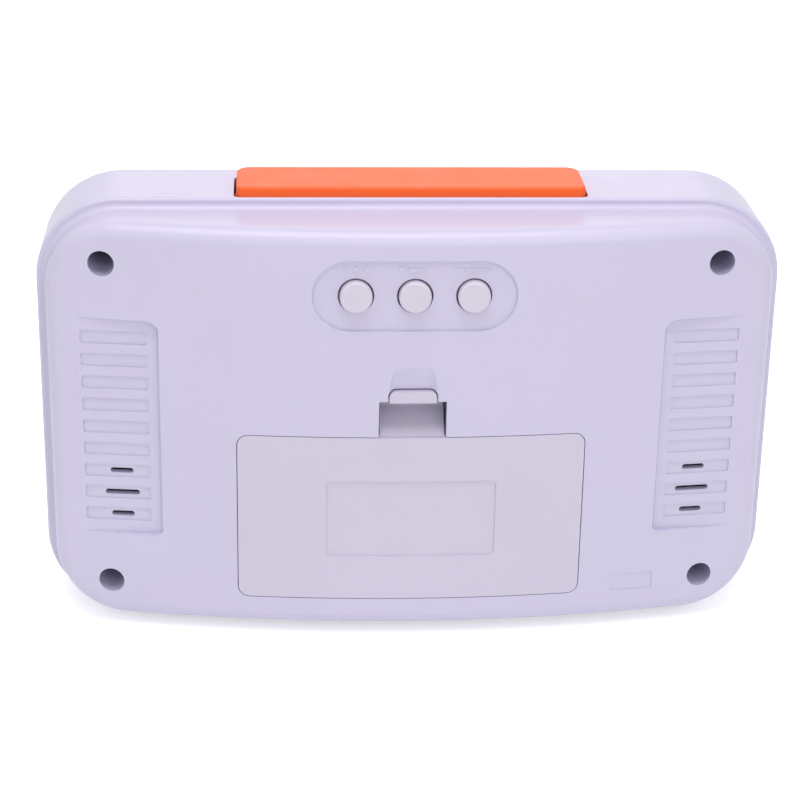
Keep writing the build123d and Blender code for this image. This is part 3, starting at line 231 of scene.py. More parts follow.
@dataclass(frozen=True)
class Finish(ABC):
    """One finish of the clock, made into a material the first time it is used."""

    name: str
    colour: Colour
    roughness: float

    @abstractmethod
    def paint(self, tree: ShaderTree) -> None:
        """Fills a material's nodes."""

    def material(self) -> bpy.types.Material:
        """The finish's material, made once."""
        known = bpy.data.materials.get(self.name)
        if known is not None:
            return known
        tree = ShaderTree(self.name)
        self.paint(tree)
        tree.material.diffuse_color = linear(self.colour)
        return tree.material

    def shades(self, tree: ShaderTree, drift: float, size: float) -> bpy.types.NodeSocket:
        """The finish's colour with slow drift between a darker and a lighter shade.

        Args:
            tree: The material's nodes.
            drift: Share by which the shades differ from the colour.
            size: Size of the patches in millimetres.

        Returns:
            The drifting colour.
        """
        base = linear(self.colour)
        dark = tuple(part * (1 - drift) for part in base[:3]) + (1.0,)
        light = tuple(min(1.0, part * (1 + drift)) for part in base[:3]) + (1.0,)
        return tree.blend(tree.remap(tree.noise(size, 3.0), 0.3, 0.7, 0.0, 1.0), dark, light)


@dataclass(frozen=True)
class MouldedPlastic(Finish):
    """Injection moulded plastic with slow colour drift, a mould texture and a few dust specks."""

    texture: Texture = Texture.SATIN
    coat: float = 0.0
    drift: float = 0.02
    specks: float = 0.0
    glow: float = 0.0

    def paint(self, tree: ShaderTree) -> None:
        """Fills the nodes of the plastic."""
        shade = self.shades(tree, self.drift, 26.0)
        if self.specks:
            dots = tree.nodes.new("ShaderNodeTexVoronoi")
            dots.inputs["Scale"].default_value = 1 / (5.5 * MM)
            tree.links.new(tree.place, dots.inputs["Vector"])
            near = tree.remap(dots.outputs["Distance"], 0.012, 0.03, self.specks, 0.0)
            rare = tree.remap(tree.noise(9.0, 1.0), 0.56, 0.6, 0.0, 1.0)
            shade = tree.blend(tree.sum("MULTIPLY", near, rare), shade, linear((96, 84, 90)))
        rise, grain = self.texture.value
        rough = tree.remap(tree.noise(7.0, 3.0), 0.3, 0.7, self.roughness - 0.03, self.roughness + 0.03)
        tree.set(Base_Color=shade, Roughness=rough)
        tree.set(Coat_Weight=self.coat, Coat_Roughness=0.12, IOR=1.5)
        if self.glow:
            tree.set(Subsurface_Weight=self.glow, Subsurface_Scale=0.0015)
        tree.bump(tree.noise(grain, 2.0), rise)


@dataclass(frozen=True)
class DrawnMetal(Finish):
    """Plated or drawn metal with fine marks along one axis and a few dull patches."""

    along: Point = (1.0, 1.0, 1.0)

    def paint(self, tree: ShaderTree) -> None:
        """Fills the nodes of the metal."""
        marks = tree.noise(0.35, 4.0, self.along)
        dull = tree.noise(3.0, 3.0)
        rough = tree.sum("ADD", tree.remap(marks, 0.3, 0.7, -0.06, 0.06), tree.remap(
            dull, 0.35, 0.7, self.roughness, self.roughness + 0.12))
        tree.set(Base_Color=self.shades(tree, 0.1, 4.0), Roughness=rough, Metallic=1.0)
        tree.bump(marks, 0.003)


@dataclass(frozen=True)
class PrintedLens(Finish):
    """Clear moulded window whose border is printed, with a thin line round the opening."""

    half_x: float = 43.5
    half_z: float = 19.5
    corner: float = 3.0
    line: float = 0.7

    def paint(self, tree: ShaderTree) -> None:
        """Mixes a clear and a printed surface by the distance from the opening's edge."""
        edge = tree.box_edge(self.half_x, self.half_z, self.corner)
        printed = tree.remap(edge, 0.0, 0.02 * MM, 0.0, 1.0)
        trim = tree.remap(tree.sum("ABSOLUTE", tree.sum("SUBTRACT", edge, 1.6 * MM)), self.line * 0.5 * MM,
                          (self.line * 0.5 + 0.05) * MM, 1.0, 0.0)
        ink = tree.blend(trim, self.shades(tree, 0.03, 12.0), linear((226, 222, 236)))
        tree.set(Base_Color=tree.blend(printed, (0.97, 0.98, 0.98, 1.0), ink))
        tree.set(Transmission_Weight=tree.remap(printed, 0.0, 1.0, 1.0, 0.0))
        tree.set(Roughness=tree.remap(tree.noise(5.0), 0.3, 0.7, self.roughness, self.roughness + 0.02))
        tree.set(IOR=1.49, Coat_Weight=0.6, Coat_Roughness=0.04)
        tree.bump(tree.noise(9.0, 1.0), 0.003)


@dataclass(frozen=True)
class DisplayGlass(Finish):
    """Grey-green display sheet with a silky reflector and a dark sealed margin."""

    def paint(self, tree: ShaderTree) -> None:
        """Fills the nodes of the display sheet."""
        margin = tree.remap(tree.box_edge(45.6, 21.8, 1.0), 0.0, 0.1 * MM, 0.0, 1.0)
        silk = tree.noise(0.12, 3.0, (1.0, 1.0, 0.15))
        field_share = tree.remap(silk, 0.3, 0.7, 0.0, 1.0)
        field_colour = tree.blend(field_share, linear((160, 170, 152)), linear(self.colour))
        tree.set(Base_Color=tree.blend(margin, field_colour, linear((58, 62, 60))))
        tree.set(Roughness=self.roughness, Metallic=0.15, Coat_Weight=0.8, Coat_Roughness=0.05)
        tree.bump(silk, 0.002)


@dataclass(frozen=True)
class SolderMask(Finish):
    """Board lacquer over copper tracks that run in both directions, with bare gold pads."""

    track: float = 2.4

    def paint(self, tree: ShaderTree) -> None:
        """Fills the nodes of the board."""
        bricks = tree.nodes.new("ShaderNodeTexBrick")
        bricks.inputs["Scale"].default_value = 1 / (self.track * 4 * MM)
        bricks.inputs["Mortar Size"].default_value = 0.03
        flat = tree.nodes.new("ShaderNodeCombineXYZ")
        tree.links.new(tree.axes.outputs["X"], flat.inputs[0])
        tree.links.new(tree.axes.outputs["Z"], flat.inputs[1])
        tree.links.new(flat.outputs[0], bricks.inputs["Vector"])
        over = tree.remap(tree.noise(9.0, 0.0), 0.45, 0.5, 0.0, 1.0)
        tracks = tree.sum("MULTIPLY", bricks.outputs["Fac"], over)
        light = tuple(part * 2.1 for part in linear(self.colour)[:3]) + (1.0,)
        dots = tree.nodes.new("ShaderNodeTexVoronoi")
        dots.inputs["Scale"].default_value = 1 / (self.track * 2 * MM)
        dots.inputs["Randomness"].default_value = 0.55
        tree.links.new(flat.outputs[0], dots.inputs["Vector"])
        pads = tree.remap(dots.outputs["Distance"], 0.1, 0.115, 1.0, 0.0)
        body = tree.blend(tracks, self.shades(tree, 0.12, 6.0), light)
        tree.set(Base_Color=tree.blend(pads, body, linear((206, 178, 104))), Metallic=pads)
        tree.set(Roughness=self.roughness, Coat_Weight=0.5, Coat_Roughness=0.2)
        tree.bump(tree.sum("ADD", tracks, pads), 0.03)


@dataclass(frozen=True)
class CellWrap(Finish):
    """Shrink sleeve of a round cell, with a pale band and bare metal at both ends."""

    band: Colour = (226, 224, 214)

    def paint(self, tree: ShaderTree) -> None:
        """Fills the nodes of the sleeve, by the distance along the cell."""
        along = tree.sum("ABSOLUTE", tree.axes.outputs["X"])
        ends = tree.remap(along, 24.7 * MM, 24.8 * MM, 0.0, 1.0)
        off_ring = tree.sum("ABSOLUTE", tree.sum("SUBTRACT", along, 19.0 * MM))
        ring = tree.remap(off_ring, 2.0 * MM, 2.05 * MM, 1.0, 0.0)
        sleeve = tree.blend(ring, self.shades(tree, 0.05, 8.0), linear(self.band))
        tree.set(Base_Color=tree.blend(ends, sleeve, linear((176, 176, 180))), Metallic=ends)
        tree.set(Roughness=tree.remap(tree.noise(6.0), 0.3, 0.7, self.roughness, self.roughness + 0.08))
        tree.set(Coat_Weight=0.4, Coat_Roughness=0.15)
        tree.bump(tree.noise(1.4, 2.0, (0.2, 1.0, 1.0)), 0.02)


@dataclass(frozen=True)
class PressedPaper(Finish):
    """Dyed paper pulp of a speaker cone, with rings round the speaker's axis."""

    centre: Spot = (47.0, 28.3)
    ring: float = 1.5

    def paint(self, tree: ShaderTree) -> None:
        """Fills the nodes of the paper."""
        x = tree.sum("SUBTRACT", tree.axes.outputs["X"], self.centre[0] * MM)
        z = tree.sum("SUBTRACT", tree.axes.outputs["Z"], self.centre[1] * MM)
        reach = tree.sum("SQRT", tree.sum("ADD", tree.sum("POWER", x, 2.0), tree.sum("POWER", z, 2.0)))
        rings = tree.sum("SINE", tree.sum("MULTIPLY", reach, 2 * math.pi / (self.ring * MM)))
        fibres = tree.noise(0.5, 5.0)
        tree.set(Base_Color=self.shades(tree, 0.3, 1.2), Roughness=self.roughness)
        tree.set(Sheen_Weight=0.2, Sheen_Roughness=0.5)
        under = tree.bump(fibres, 0.05)
        tree.bump(rings, 0.12, under)


@dataclass(frozen=True)
class StripedRibbon(Finish):
    """Flat ribbon whose cores show as ridges, with painted shade in the grooves between them and one marked
    edge.
    """

    pitch: float = 1.27
    marked: Colour = (196, 52, 44)

    def paint(self, tree: ShaderTree) -> None:
        """Fills the nodes of the ribbon, across its width."""
        turn = tree.sum("MULTIPLY", tree.axes.outputs["X"], 2 * math.pi / (self.pitch * MM))
        ridge = tree.remap(tree.sum("COSINE", turn), -1.0, 1.0, 0.0, 1.0)
        edge = tree.remap(tree.axes.outputs["X"], 3.2 * MM, 3.25 * MM, 0.0, 1.0)
        # Painted shade: the colour darkens halfway toward dark grey in the grooves between the cores.
        groove_shade = tree.remap(ridge, 0.0, 0.3, 0.5, 0.0)
        shade = tree.blend(groove_shade, self.shades(tree, 0.06, 3.0), linear((92, 94, 98)))
        tree.set(Base_Color=tree.blend(edge, shade, linear(self.marked)), Roughness=self.roughness)
        tree.bump(ridge, 0.15)


@dataclass(frozen=True)
class SoftCompound(Finish):
    """Rubber or soft sleeve with bloom and a fine skin; layered where it conducts in stripes."""

    layers: float = 0.0

    def paint(self, tree: ShaderTree) -> None:
        """Fills the nodes of the compound."""
        shade = self.shades(tree, 0.18, 2.5)
        if self.layers:
            turn = tree.sum("MULTIPLY", tree.axes.outputs["X"], 2 * math.pi / (self.layers * MM))
            stripe = tree.remap(tree.sum("SINE", turn), -0.1, 0.1, 0.0, 1.0)
            shade = tree.blend(stripe, shade, linear((168, 166, 160)))
        tree.set(Base_Color=shade, Roughness=tree.remap(
            tree.noise(1.6, 3.0), 0.3, 0.7, self.roughness - 0.08, self.roughness + 0.06))
        tree.bump(tree.noise(0.4, 3.0), 0.02)


SHELL = MouldedPlastic("lavender_gloss_shell", (203, 199, 221), 0.36, Texture.POLISHED, 0.08, 0.012, 0.45)
DOOR = MouldedPlastic("pale_satin_door", (204, 200, 216), 0.46, Texture.SATIN, 0.0, 0.012, 0.3)
KEY = MouldedPlastic("pale_satin_key", (211, 205, 218), 0.42, Texture.SATIN, 0.0, 0.012)
BAR = MouldedPlastic("orange_satin_bar", (254, 98, 16), 0.42, Texture.SATIN, 0.0, 0.03, 0.0, 0.08)
LENS = PrintedLens("printed_clear_lens", (92, 88, 108), 0.03)
GLASS = DisplayGlass("grey_green_display", (176, 186, 168), 0.3)
INK = MouldedPlastic("display_segment_ink", (34, 38, 40), 0.3, Texture.SATIN)
GHOST = MouldedPlastic("display_segment_ghost", (152, 162, 146), 0.3, Texture.SATIN)
GUIDE = MouldedPlastic("frosted_light_guide", (226, 232, 224), 0.5, Texture.SPARK, 0.0, 0.02, 0.0, 0.3)
HOLDER = MouldedPlastic("white_inner_moulding", (214, 214, 210), 0.5, Texture.SPARK)
LAMP = MouldedPlastic("yellow_lamp_resin", (238, 220, 130), 0.2, Texture.POLISHED, 0.4, 0.05, 0.0, 0.3)
STRIP = SoftCompound("layered_contact_rubber", (36, 36, 38), 0.7, 0.9)
BOARD = SolderMask("green_board_lacquer", (24, 92, 52), 0.35)
RESIN = MouldedPlastic("black_chip_resin", (24, 24, 26), 0.32, Texture.SATIN, 0.3, 0.2)
SWITCH = MouldedPlastic("black_switch_moulding", (32, 32, 34), 0.5, Texture.SPARK, 0.0, 0.1)
CAN = DrawnMetal("drawn_crystal_can", (198, 198, 204), 0.25, (1.0, 1.0, 0.1))
STEEL = DrawnMetal("plated_screw_steel", (190, 190, 194), 0.3)
SPRING = DrawnMetal("drawn_spring_wire", (182, 182, 186), 0.28, (1.0, 1.0, 0.3))
CONTACT = DrawnMetal("tinned_contact_sheet", (206, 204, 198), 0.3, (1.0, 1.0, 0.15))
SOLDER = DrawnMetal("bright_solder", (200, 200, 202), 0.25)
SLEEVE = MouldedPlastic("blue_capacitor_sleeve", (28, 34, 74), 0.25, Texture.POLISHED, 0.4, 0.06)
WRAP = CellWrap("teal_cell_sleeve", (40, 128, 132), 0.3)
BASKET = DrawnMetal("dark_speaker_basket", (84, 84, 88), 0.42)
MAGNET = MouldedPlastic("grey_ferrite_magnet", (52, 52, 56), 0.62, Texture.SPARK, 0.0, 0.2)
CONE = PressedPaper("dyed_cone_paper", (52, 34, 32), 0.85)
RIBBON = StripedRibbon("grey_ribbon_jacket", (168, 170, 174), 0.45)
RED_LEAD = SoftCompound("red_lead_sleeve", (186, 34, 30), 0.45)
BLACK_LEAD = SoftCompound("black_lead_sleeve", (30, 30, 32), 0.45)


def mesh_piece(name: str, points: Sequence[Point], faces: Iterable[Sequence[int]]) -> bpy.types.Object:
    """Makes a linked mesh object from points in millimetres, with its normals pointing out.

    Args:
        name: The piece's name.
        points: Corners in millimetres.
        faces: Corner numbers of each face.

    Returns:
        The new object at the origin.
    """
    mesh = bpy.data.meshes.new(name)
    mesh.from_pydata([tuple(part * MM for part in point) for point in points], [], [tuple(f) for f in faces])
    shape = bmesh.new()
    shape.from_mesh(mesh)
    bmesh.ops.remove_doubles(shape, verts=shape.verts, dist=1e-7)
    bmesh.ops.recalc_face_normals(shape, faces=shape.faces)
    shape.to_mesh(mesh)
    shape.free()
    piece = bpy.data.objects.new(name, mesh)
    bpy.context.scene.collection.objects.link(piece)
    return piece


def cover(piece: bpy.types.Object, finish: Finish, smooth: bool = False) -> None:
    """Puts one finish on a whole piece and sets its shading."""
    piece.data.materials.clear()
    piece.data.materials.append(finish.material())
    piece.data.polygons.foreach_set("use_smooth", [smooth] * len(piece.data.polygons))


def settle(piece: bpy.types.Object) -> bpy.types.Object:
    """Turns a piece with modifiers into a plain mesh without them.

    Args:
        piece: The object whose modifiers are finished.

    Returns:
        The same object with its final mesh.
    """
    bpy.context.view_layer.update()
    graph = bpy.context.evaluated_depsgraph_get()
    final = bpy.data.meshes.new_from_object(piece.evaluated_get(graph))
    piece.modifiers.clear()
    piece.data = final
    return piece


def dress(node: str, finish: Finish) -> None:
    """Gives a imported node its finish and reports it."""
    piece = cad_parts[node]
    piece.data.materials.clear()
    piece.data.materials.append(finish.material())
    LOG.info("dressed %s with %s", node, finish.name)


class Assembly(ABC):
    """A sub-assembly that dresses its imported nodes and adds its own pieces."""

    @abstractmethod
    def build(self) -> None:
        """Dresses the nodes and makes the pieces."""

    def hand_over(self, piece: bpy.types.Object, body: str, slot: str) -> None:
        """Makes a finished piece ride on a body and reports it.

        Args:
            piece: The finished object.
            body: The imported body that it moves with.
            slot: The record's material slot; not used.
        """
        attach(piece, body)
        LOG.info("built %s with %d faces", piece.name, len(piece.data.polygons))


def instance_tree(name: str) -> bpy.types.NodeTree:
    """Builds a Geometry Nodes tree that sets a unit on every point of a mesh.

    Args:
        name: The tree's name.

    Returns:
        A tree with the inputs Unit, Turn, Size and Finish, ending in realized geometry.
    """
    tree = bpy.data.node_groups.new(name, "GeometryNodeTree")
    tree.interface.new_socket("Geometry", in_out="INPUT", socket_type="NodeSocketGeometry")
    for label, kind in (("Unit", "NodeSocketObject"), ("Turn", "NodeSocketRotation"),
                        ("Size", "NodeSocketFloat"), ("Finish", "NodeSocketMaterial")):
        tree.interface.new_socket(label, in_out="INPUT", socket_type=kind)
    tree.interface.new_socket("Geometry", in_out="OUTPUT", socket_type="NodeSocketGeometry")
    start = tree.nodes.new("NodeGroupInput")
    end = tree.nodes.new("NodeGroupOutput")
    unit = tree.nodes.new("GeometryNodeObjectInfo")
    spread = tree.nodes.new("GeometryNodeInstanceOnPoints")
    solid = tree.nodes.new("GeometryNodeRealizeInstances")
    paint = tree.nodes.new("GeometryNodeSetMaterial")
    for source, target in (
        (start.outputs["Geometry"], spread.inputs["Points"]),
        (start.outputs["Unit"], unit.inputs["Object"]),
        (unit.outputs["Geometry"], spread.inputs["Instance"]),
        (start.outputs["Turn"], spread.inputs["Rotation"]),
        (start.outputs["Size"], spread.inputs["Scale"]),
        (spread.outputs[0], solid.inputs[0]),
        (solid.outputs[0], paint.inputs["Geometry"]),
        (start.outputs["Finish"], paint.inputs["Material"]),
        (paint.outputs[0], end.inputs["Geometry"]),
    ):
        tree.links.new(source, target)
    return tree


def spread_unit(
    name: str, unit: bpy.types.Object, places: Sequence[Point], turn: Point, finish: Finish
) -> bpy.types.Object:
    """Repeats a unit over points with Geometry Nodes and leaves one plain mesh.

    Args:
        name: The new piece's name.
        unit: The object to repeat, which is removed afterwards.
        places: Points in millimetres.
        turn: Euler turn of every unit in radians.
        finish: The finish of the result.

    Returns:
        The realized piece.
    """
    piece = mesh_piece(name, places, [])
    tree = instance_tree(name + "_tree")
    modifier = piece.modifiers.new("Spread", "NODES")
    modifier.node_group = tree
    keys = {item.name: item.identifier for item in tree.interface.items_tree if item.in_out == "INPUT"}
    modifier[keys["Unit"]] = unit
    modifier[keys["Turn"]] = turn
    modifier[keys["Size"]] = 1.0
    modifier[keys["Finish"]] = finish.material()
    settle(piece)
    bpy.data.objects.remove(unit)
    return piece


@dataclass
class ScrewSet(Assembly):
    """Alike pan-head screws with a cross recess and a cut thread, in place of their plain node."""

    node: str
    places: Sequence[Spot]
    seat_y: float
    to_back: bool
    head_radius: float
    head_thick: float
    radius: float
    length: float
    pitch: float = 0.9
    sides: int = 28
    steps: int = 5

    def head(self) -> bpy.types.Object:
        """The turned head with its cross recess cut in."""
        shape = [(0.0, 0.0), (self.head_radius, 0.0), (self.head_radius, self.head_thick * 0.45)]
        for step in range(1, 6):
            angle = step / 6 * math.pi / 2
            shape.append((self.head_radius * (0.35 + 0.65 * math.cos(angle)),
                          self.head_thick * (0.45 + 0.55 * math.sin(angle))))
        shape.append((0.0, self.head_thick))
        points: list[Point] = []
        for side in range(self.sides):
            angle = 2 * math.pi * side / self.sides
            points += [(r * math.cos(angle), r * math.sin(angle), z) for r, z in shape]
        count = len(shape)
        faces = []
        for side in range(self.sides):
            here, there = side * count, (side + 1) % self.sides * count
            faces += [(here + k, there + k, there + k + 1, here + k + 1) for k in range(count - 1)]
        head = mesh_piece(self.node + "_head", points, faces)
        wide, narrow = self.head_radius * 0.62, self.head_radius * 0.16
        cutter_points: list[Point] = []
        cutter_faces: list[tuple[int, ...]] = []
        for long_x, long_y in ((wide, narrow), (narrow, wide)):
            start = len(cutter_points)
            for z, share in ((self.head_thick * 0.25, 0.55), (self.head_thick * 1.3, 1.0)):
                corners = ((-1, -1), (1, -1), (1, 1), (-1, 1))
                cutter_points += [(sx * long_x * share, sy * long_y * share, z) for sx, sy in corners]
            for quad in ((3, 2, 1, 0), (4, 5, 6, 7), (0, 1, 5, 4), (1, 2, 6, 5), (2, 3, 7, 6), (3, 0, 4, 7)):
                cutter_faces.append(tuple(start + corner for corner in quad))
        cutter = mesh_piece(self.node + "_cross", cutter_points, cutter_faces)
        cut = head.modifiers.new("Cross", "BOOLEAN")
        cut.operation = "DIFFERENCE"
        cut.solver = "EXACT"
        cut.use_self = True
        cut.object = cutter
        settle(head)
        bpy.data.objects.remove(cutter)
        return head

    def shank(self) -> bpy.types.Object:
        """The shank with a helical thread, cut as a grid whose radius follows the turn."""
        rows = int(self.length / self.pitch * self.steps)
        core = self.radius * 0.74
        points: list[Point] = []
        for row in range(rows + 1):
            drop = self.length * row / rows
            for side in range(self.sides):
                share = side / self.sides
                phase = (drop / self.pitch + share) % 1.0
                ridge = max(0.0, 1 - abs(phase - 0.5) * 3.2)
                fade = min(1.0, drop / self.pitch, (self.length - drop) / self.pitch)
                tip = min(1.0, 0.25 + (self.length - drop) / (1.2 * self.radius))
                reach = (core + (self.radius - core) * ridge * fade) * tip
                angle = 2 * math.pi * share
                points.append((reach * math.cos(angle), reach * math.sin(angle), -drop))
        faces = []
        for row in range(rows):
            for side in range(self.sides):
                after = (side + 1) % self.sides
                here, below = row * self.sides, (row + 1) * self.sides
                faces.append((here + side, below + side, below + after, here + after))
        faces.append(tuple(range(self.sides)))
        faces.append(tuple(range(rows * self.sides, (rows + 1) * self.sides)))
        return mesh_piece(self.node + "_shank", points, faces)

    def unit(self) -> bpy.types.Object:
        """Head and shank as one object."""
        head, shank = self.head(), self.shank()
        shape = bmesh.new()
        shape.from_mesh(head.data)
        shape.from_mesh(shank.data)
        shape.to_mesh(head.data)
        shape.free()
        bpy.data.objects.remove(shank)
        return head

    def build(self) -> None:
        """Sets the screws on their places and lets them stand for the node."""
        points = [(x, self.seat_y, z) for x, z in self.places]
        turn = (-math.pi / 2 if self.to_back else math.pi / 2, 0.0, 0.0)
        piece = spread_unit(self.node + "_threaded", self.unit(), points, turn, STEEL)
        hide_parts(self.node)
        self.hand_over(piece, "case", "plated_steel")


@dataclass
class Case(Assembly):
    """The two shells and the raised signs over the keys."""

    key_x: tuple[float, float, float] = (10.5, 0.0, -10.5)
    sign_rise: float = 72.7
    recess: float = 0.5
    sign_height: float = 0.22
    sign_sink: float = 0.1
    taper_x: float = 0.9
    taper_z: float = 0.86
    dot_radius: float = 0.5

    def plate(self, outline: Sequence[Spot]) -> tuple[list[Point], list[tuple[int, ...]]]:
        """Raises an outline off the recessed skin.

        Args:
            outline: Corners as X and Z in millimetres, in order.

        Returns:
            The points and faces of the raised plate.
        """
        count = len(outline)
        sunk = [(x, skin_y(x, self.recess) - self.sign_sink, z) for x, z in outline]
        mid_x = sum(x for x, _ in outline) / count
        mid_z = sum(z for _, z in outline) / count
        top = [
            (mid_x + (x - mid_x) * self.taper_x, skin_y(x, self.recess) + self.sign_height,
             mid_z + (z - mid_z) * self.taper_z)
            for x, z in outline
        ]
        faces: list[tuple[int, ...]] = [tuple(range(count)), tuple(range(count, 2 * count))]
        faces += [(k, (k + 1) % count, count + (k + 1) % count, count + k) for k in range(count)]
        return sunk + top, faces

    def signs(self) -> bpy.types.Object:
        """Three dots, a short hand and a long hand, one over each key."""
        outlines: list[list[Spot]] = []
        dots = [(self.key_x[0] + step * 1.9, self.dot_radius) for step in (-1, 0, 1)]
        dots += [(self.key_x[1] + 2.4, 0.62), (self.key_x[2] + 2.8, 0.5)]
        for x, radius in dots:
            outlines.append([
                (x + radius * math.cos(math.pi * k / 8), self.sign_rise + radius * math.sin(math.pi * k / 8))
                for k in range(16)
            ])
        for x, reach, half in ((self.key_x[1], 3.4, 0.42), (self.key_x[2], 5.0, 0.24)):
            start = x + 1.4 if half > 0.3 else x + 1.9
            outlines.append([
                (start, self.sign_rise - half), (start, self.sign_rise + half),
                (start - reach + 1.0, self.sign_rise + half * 0.8), (start - reach, self.sign_rise),
                (start - reach + 1.0, self.sign_rise - half * 0.8),
            ])
        points: list[Point] = []
        faces: list[tuple[int, ...]] = []
        for outline in outlines:
            more, more_faces = self.plate(outline)
            faces += [tuple(len(points) + corner for corner in face) for face in more_faces]
            points += more
        piece = mesh_piece("raised_key_signs", points, faces)
        cover(piece, SHELL)
        return piece

    def build(self) -> None:
        """Dresses both shells and raises the signs."""
        dress("front_shell", SHELL)
        dress("rear_shell", SHELL)
        self.hand_over(self.signs(), "case", "shell_gloss")


@dataclass
class Display(Assembly):
    """Lens, display sheet with its digits, light guide, contact strip, holder and lamp."""

    face_y: float = -14.4
    sheet: float = 0.03
    lean: float = 0.09
    time: str = "10:08"
    seconds: str = "25"
    big: tuple[float, float, float] = (25.0, 11.2, 2.7)
    small: tuple[float, float, float] = (12.0, 6.6, 1.5)
    big_left: float = -41.0
    small_left: float = 23.5
    foot: float = MID_Z - 12.5
    ink_rise: float = 0.01
    bars: dict[str, str] = field(default_factory=lambda: {
        "0": "abcdef", "1": "bc", "2": "abged", "3": "abgcd", "4": "fgbc",
        "5": "afgcd", "6": "afgedc", "7": "abc", "8": "abcdefg", "9": "abcdfg",
    })

    def segments(self, size: tuple[float, float, float]) -> dict[str, list[Spot]]:
        """Outlines of the seven bars of a digit.

        Args:
            size: Height, width and bar thickness in millimetres.

        Returns:
            Corner lists by bar letter, from the digit's lower left corner.
        """
        tall, wide, thick = size
        gap, half = thick * 0.09, thick / 2
        middle = tall / 2

        def across(z: float) -> list[Spot]:
            """A level bar at a height."""
            left, right = half + gap, wide - half - gap
            return [(left, z), (left + half, z + half), (right - half, z + half),
                    (right, z), (right - half, z - half), (left + half, z - half)]

        def upright(x: float, low: float, high: float) -> list[Spot]:
            """A standing bar between two heights."""
            low, high = low + gap, high - gap
            return [(x, low), (x + half, low + half), (x + half, high - half),
                    (x, high), (x - half, high - half), (x - half, low + half)]

        return {
            "a": across(tall - half), "g": across(middle), "d": across(half),
            "f": upright(half, middle, tall - half), "b": upright(wide - half, middle, tall - half),
            "e": upright(half, half, middle), "c": upright(wide - half, half, middle),
        }

    def line(
        self, text: str, size: tuple[float, float, float], left: float, low: float,
    ) -> dict[bool, list[list[Spot]]]:
        """Lays out a line of digits.

        Args:
            text: Digits and colons.
            size: Height, width and bar thickness in millimetres.
            left: X of the first digit's left edge.
            low: Z of the digits' foot.

        Returns:
            Lit outlines under True and unlit outlines under False.
        """
        found: dict[bool, list[list[Spot]]] = {True: [], False: []}
        step = size[1] * 1.28
        for letter in text:
            if letter == ":":
                half = size[2] * 0.5
                for z in (size[0] * 0.32, size[0] * 0.68):
                    spot = [(-half, z - half), (half, z - half), (half, z + half), (-half, z + half)]
                    found[True].append([(left + half + x + z_ * self.lean, low + z_) for x, z_ in spot])
                left += size[1] * 0.42
                continue
            for bar, outline in self.segments(size).items():
                moved = [(left + x + z * self.lean, low + z) for x, z in outline]
                found[bar in self.bars[letter]].append(moved)
            left += step
        return found

    def print_bars(self, name: str, outlines: Sequence[Sequence[Spot]], finish: Finish, rise: float) -> None:
        """Makes thin plates in front of the display sheet from outlines."""
        points: list[Point] = []
        faces: list[tuple[int, ...]] = []
        for outline in outlines:
            start, count = len(points), len(outline)
            for y in (self.face_y - rise - self.sheet, self.face_y - rise):
                points += [(x, y, z) for x, z in outline]
            faces.append(tuple(range(start, start + count)))
            faces.append(tuple(range(start + count, start + 2 * count)))
            faces += [(start + k, start + (k + 1) % count, start + count + (k + 1) % count, start + count + k)
                      for k in range(count)]
        piece = mesh_piece(name, points, faces)
        cover(piece, finish)
        self.hand_over(piece, "case", "display_glass")

    def build(self) -> None:
        """Dresses the stack and prints the digits."""
        for node, finish in (("display_lens", LENS), ("display_glass", GLASS), ("light_guide", GUIDE),
                             ("contact_strip", STRIP), ("display_holder", HOLDER), ("backlight_lamp", LAMP)):
            dress(node, finish)
        main = self.line(self.time, self.big, self.big_left, self.foot)
        minor = self.line(self.seconds, self.small, self.small_left, self.foot)
        self.print_bars("display_digits", main[True] + minor[True], INK, self.ink_rise)
        self.print_bars("display_unlit_bars", main[False] + minor[False], GHOST, self.ink_rise)


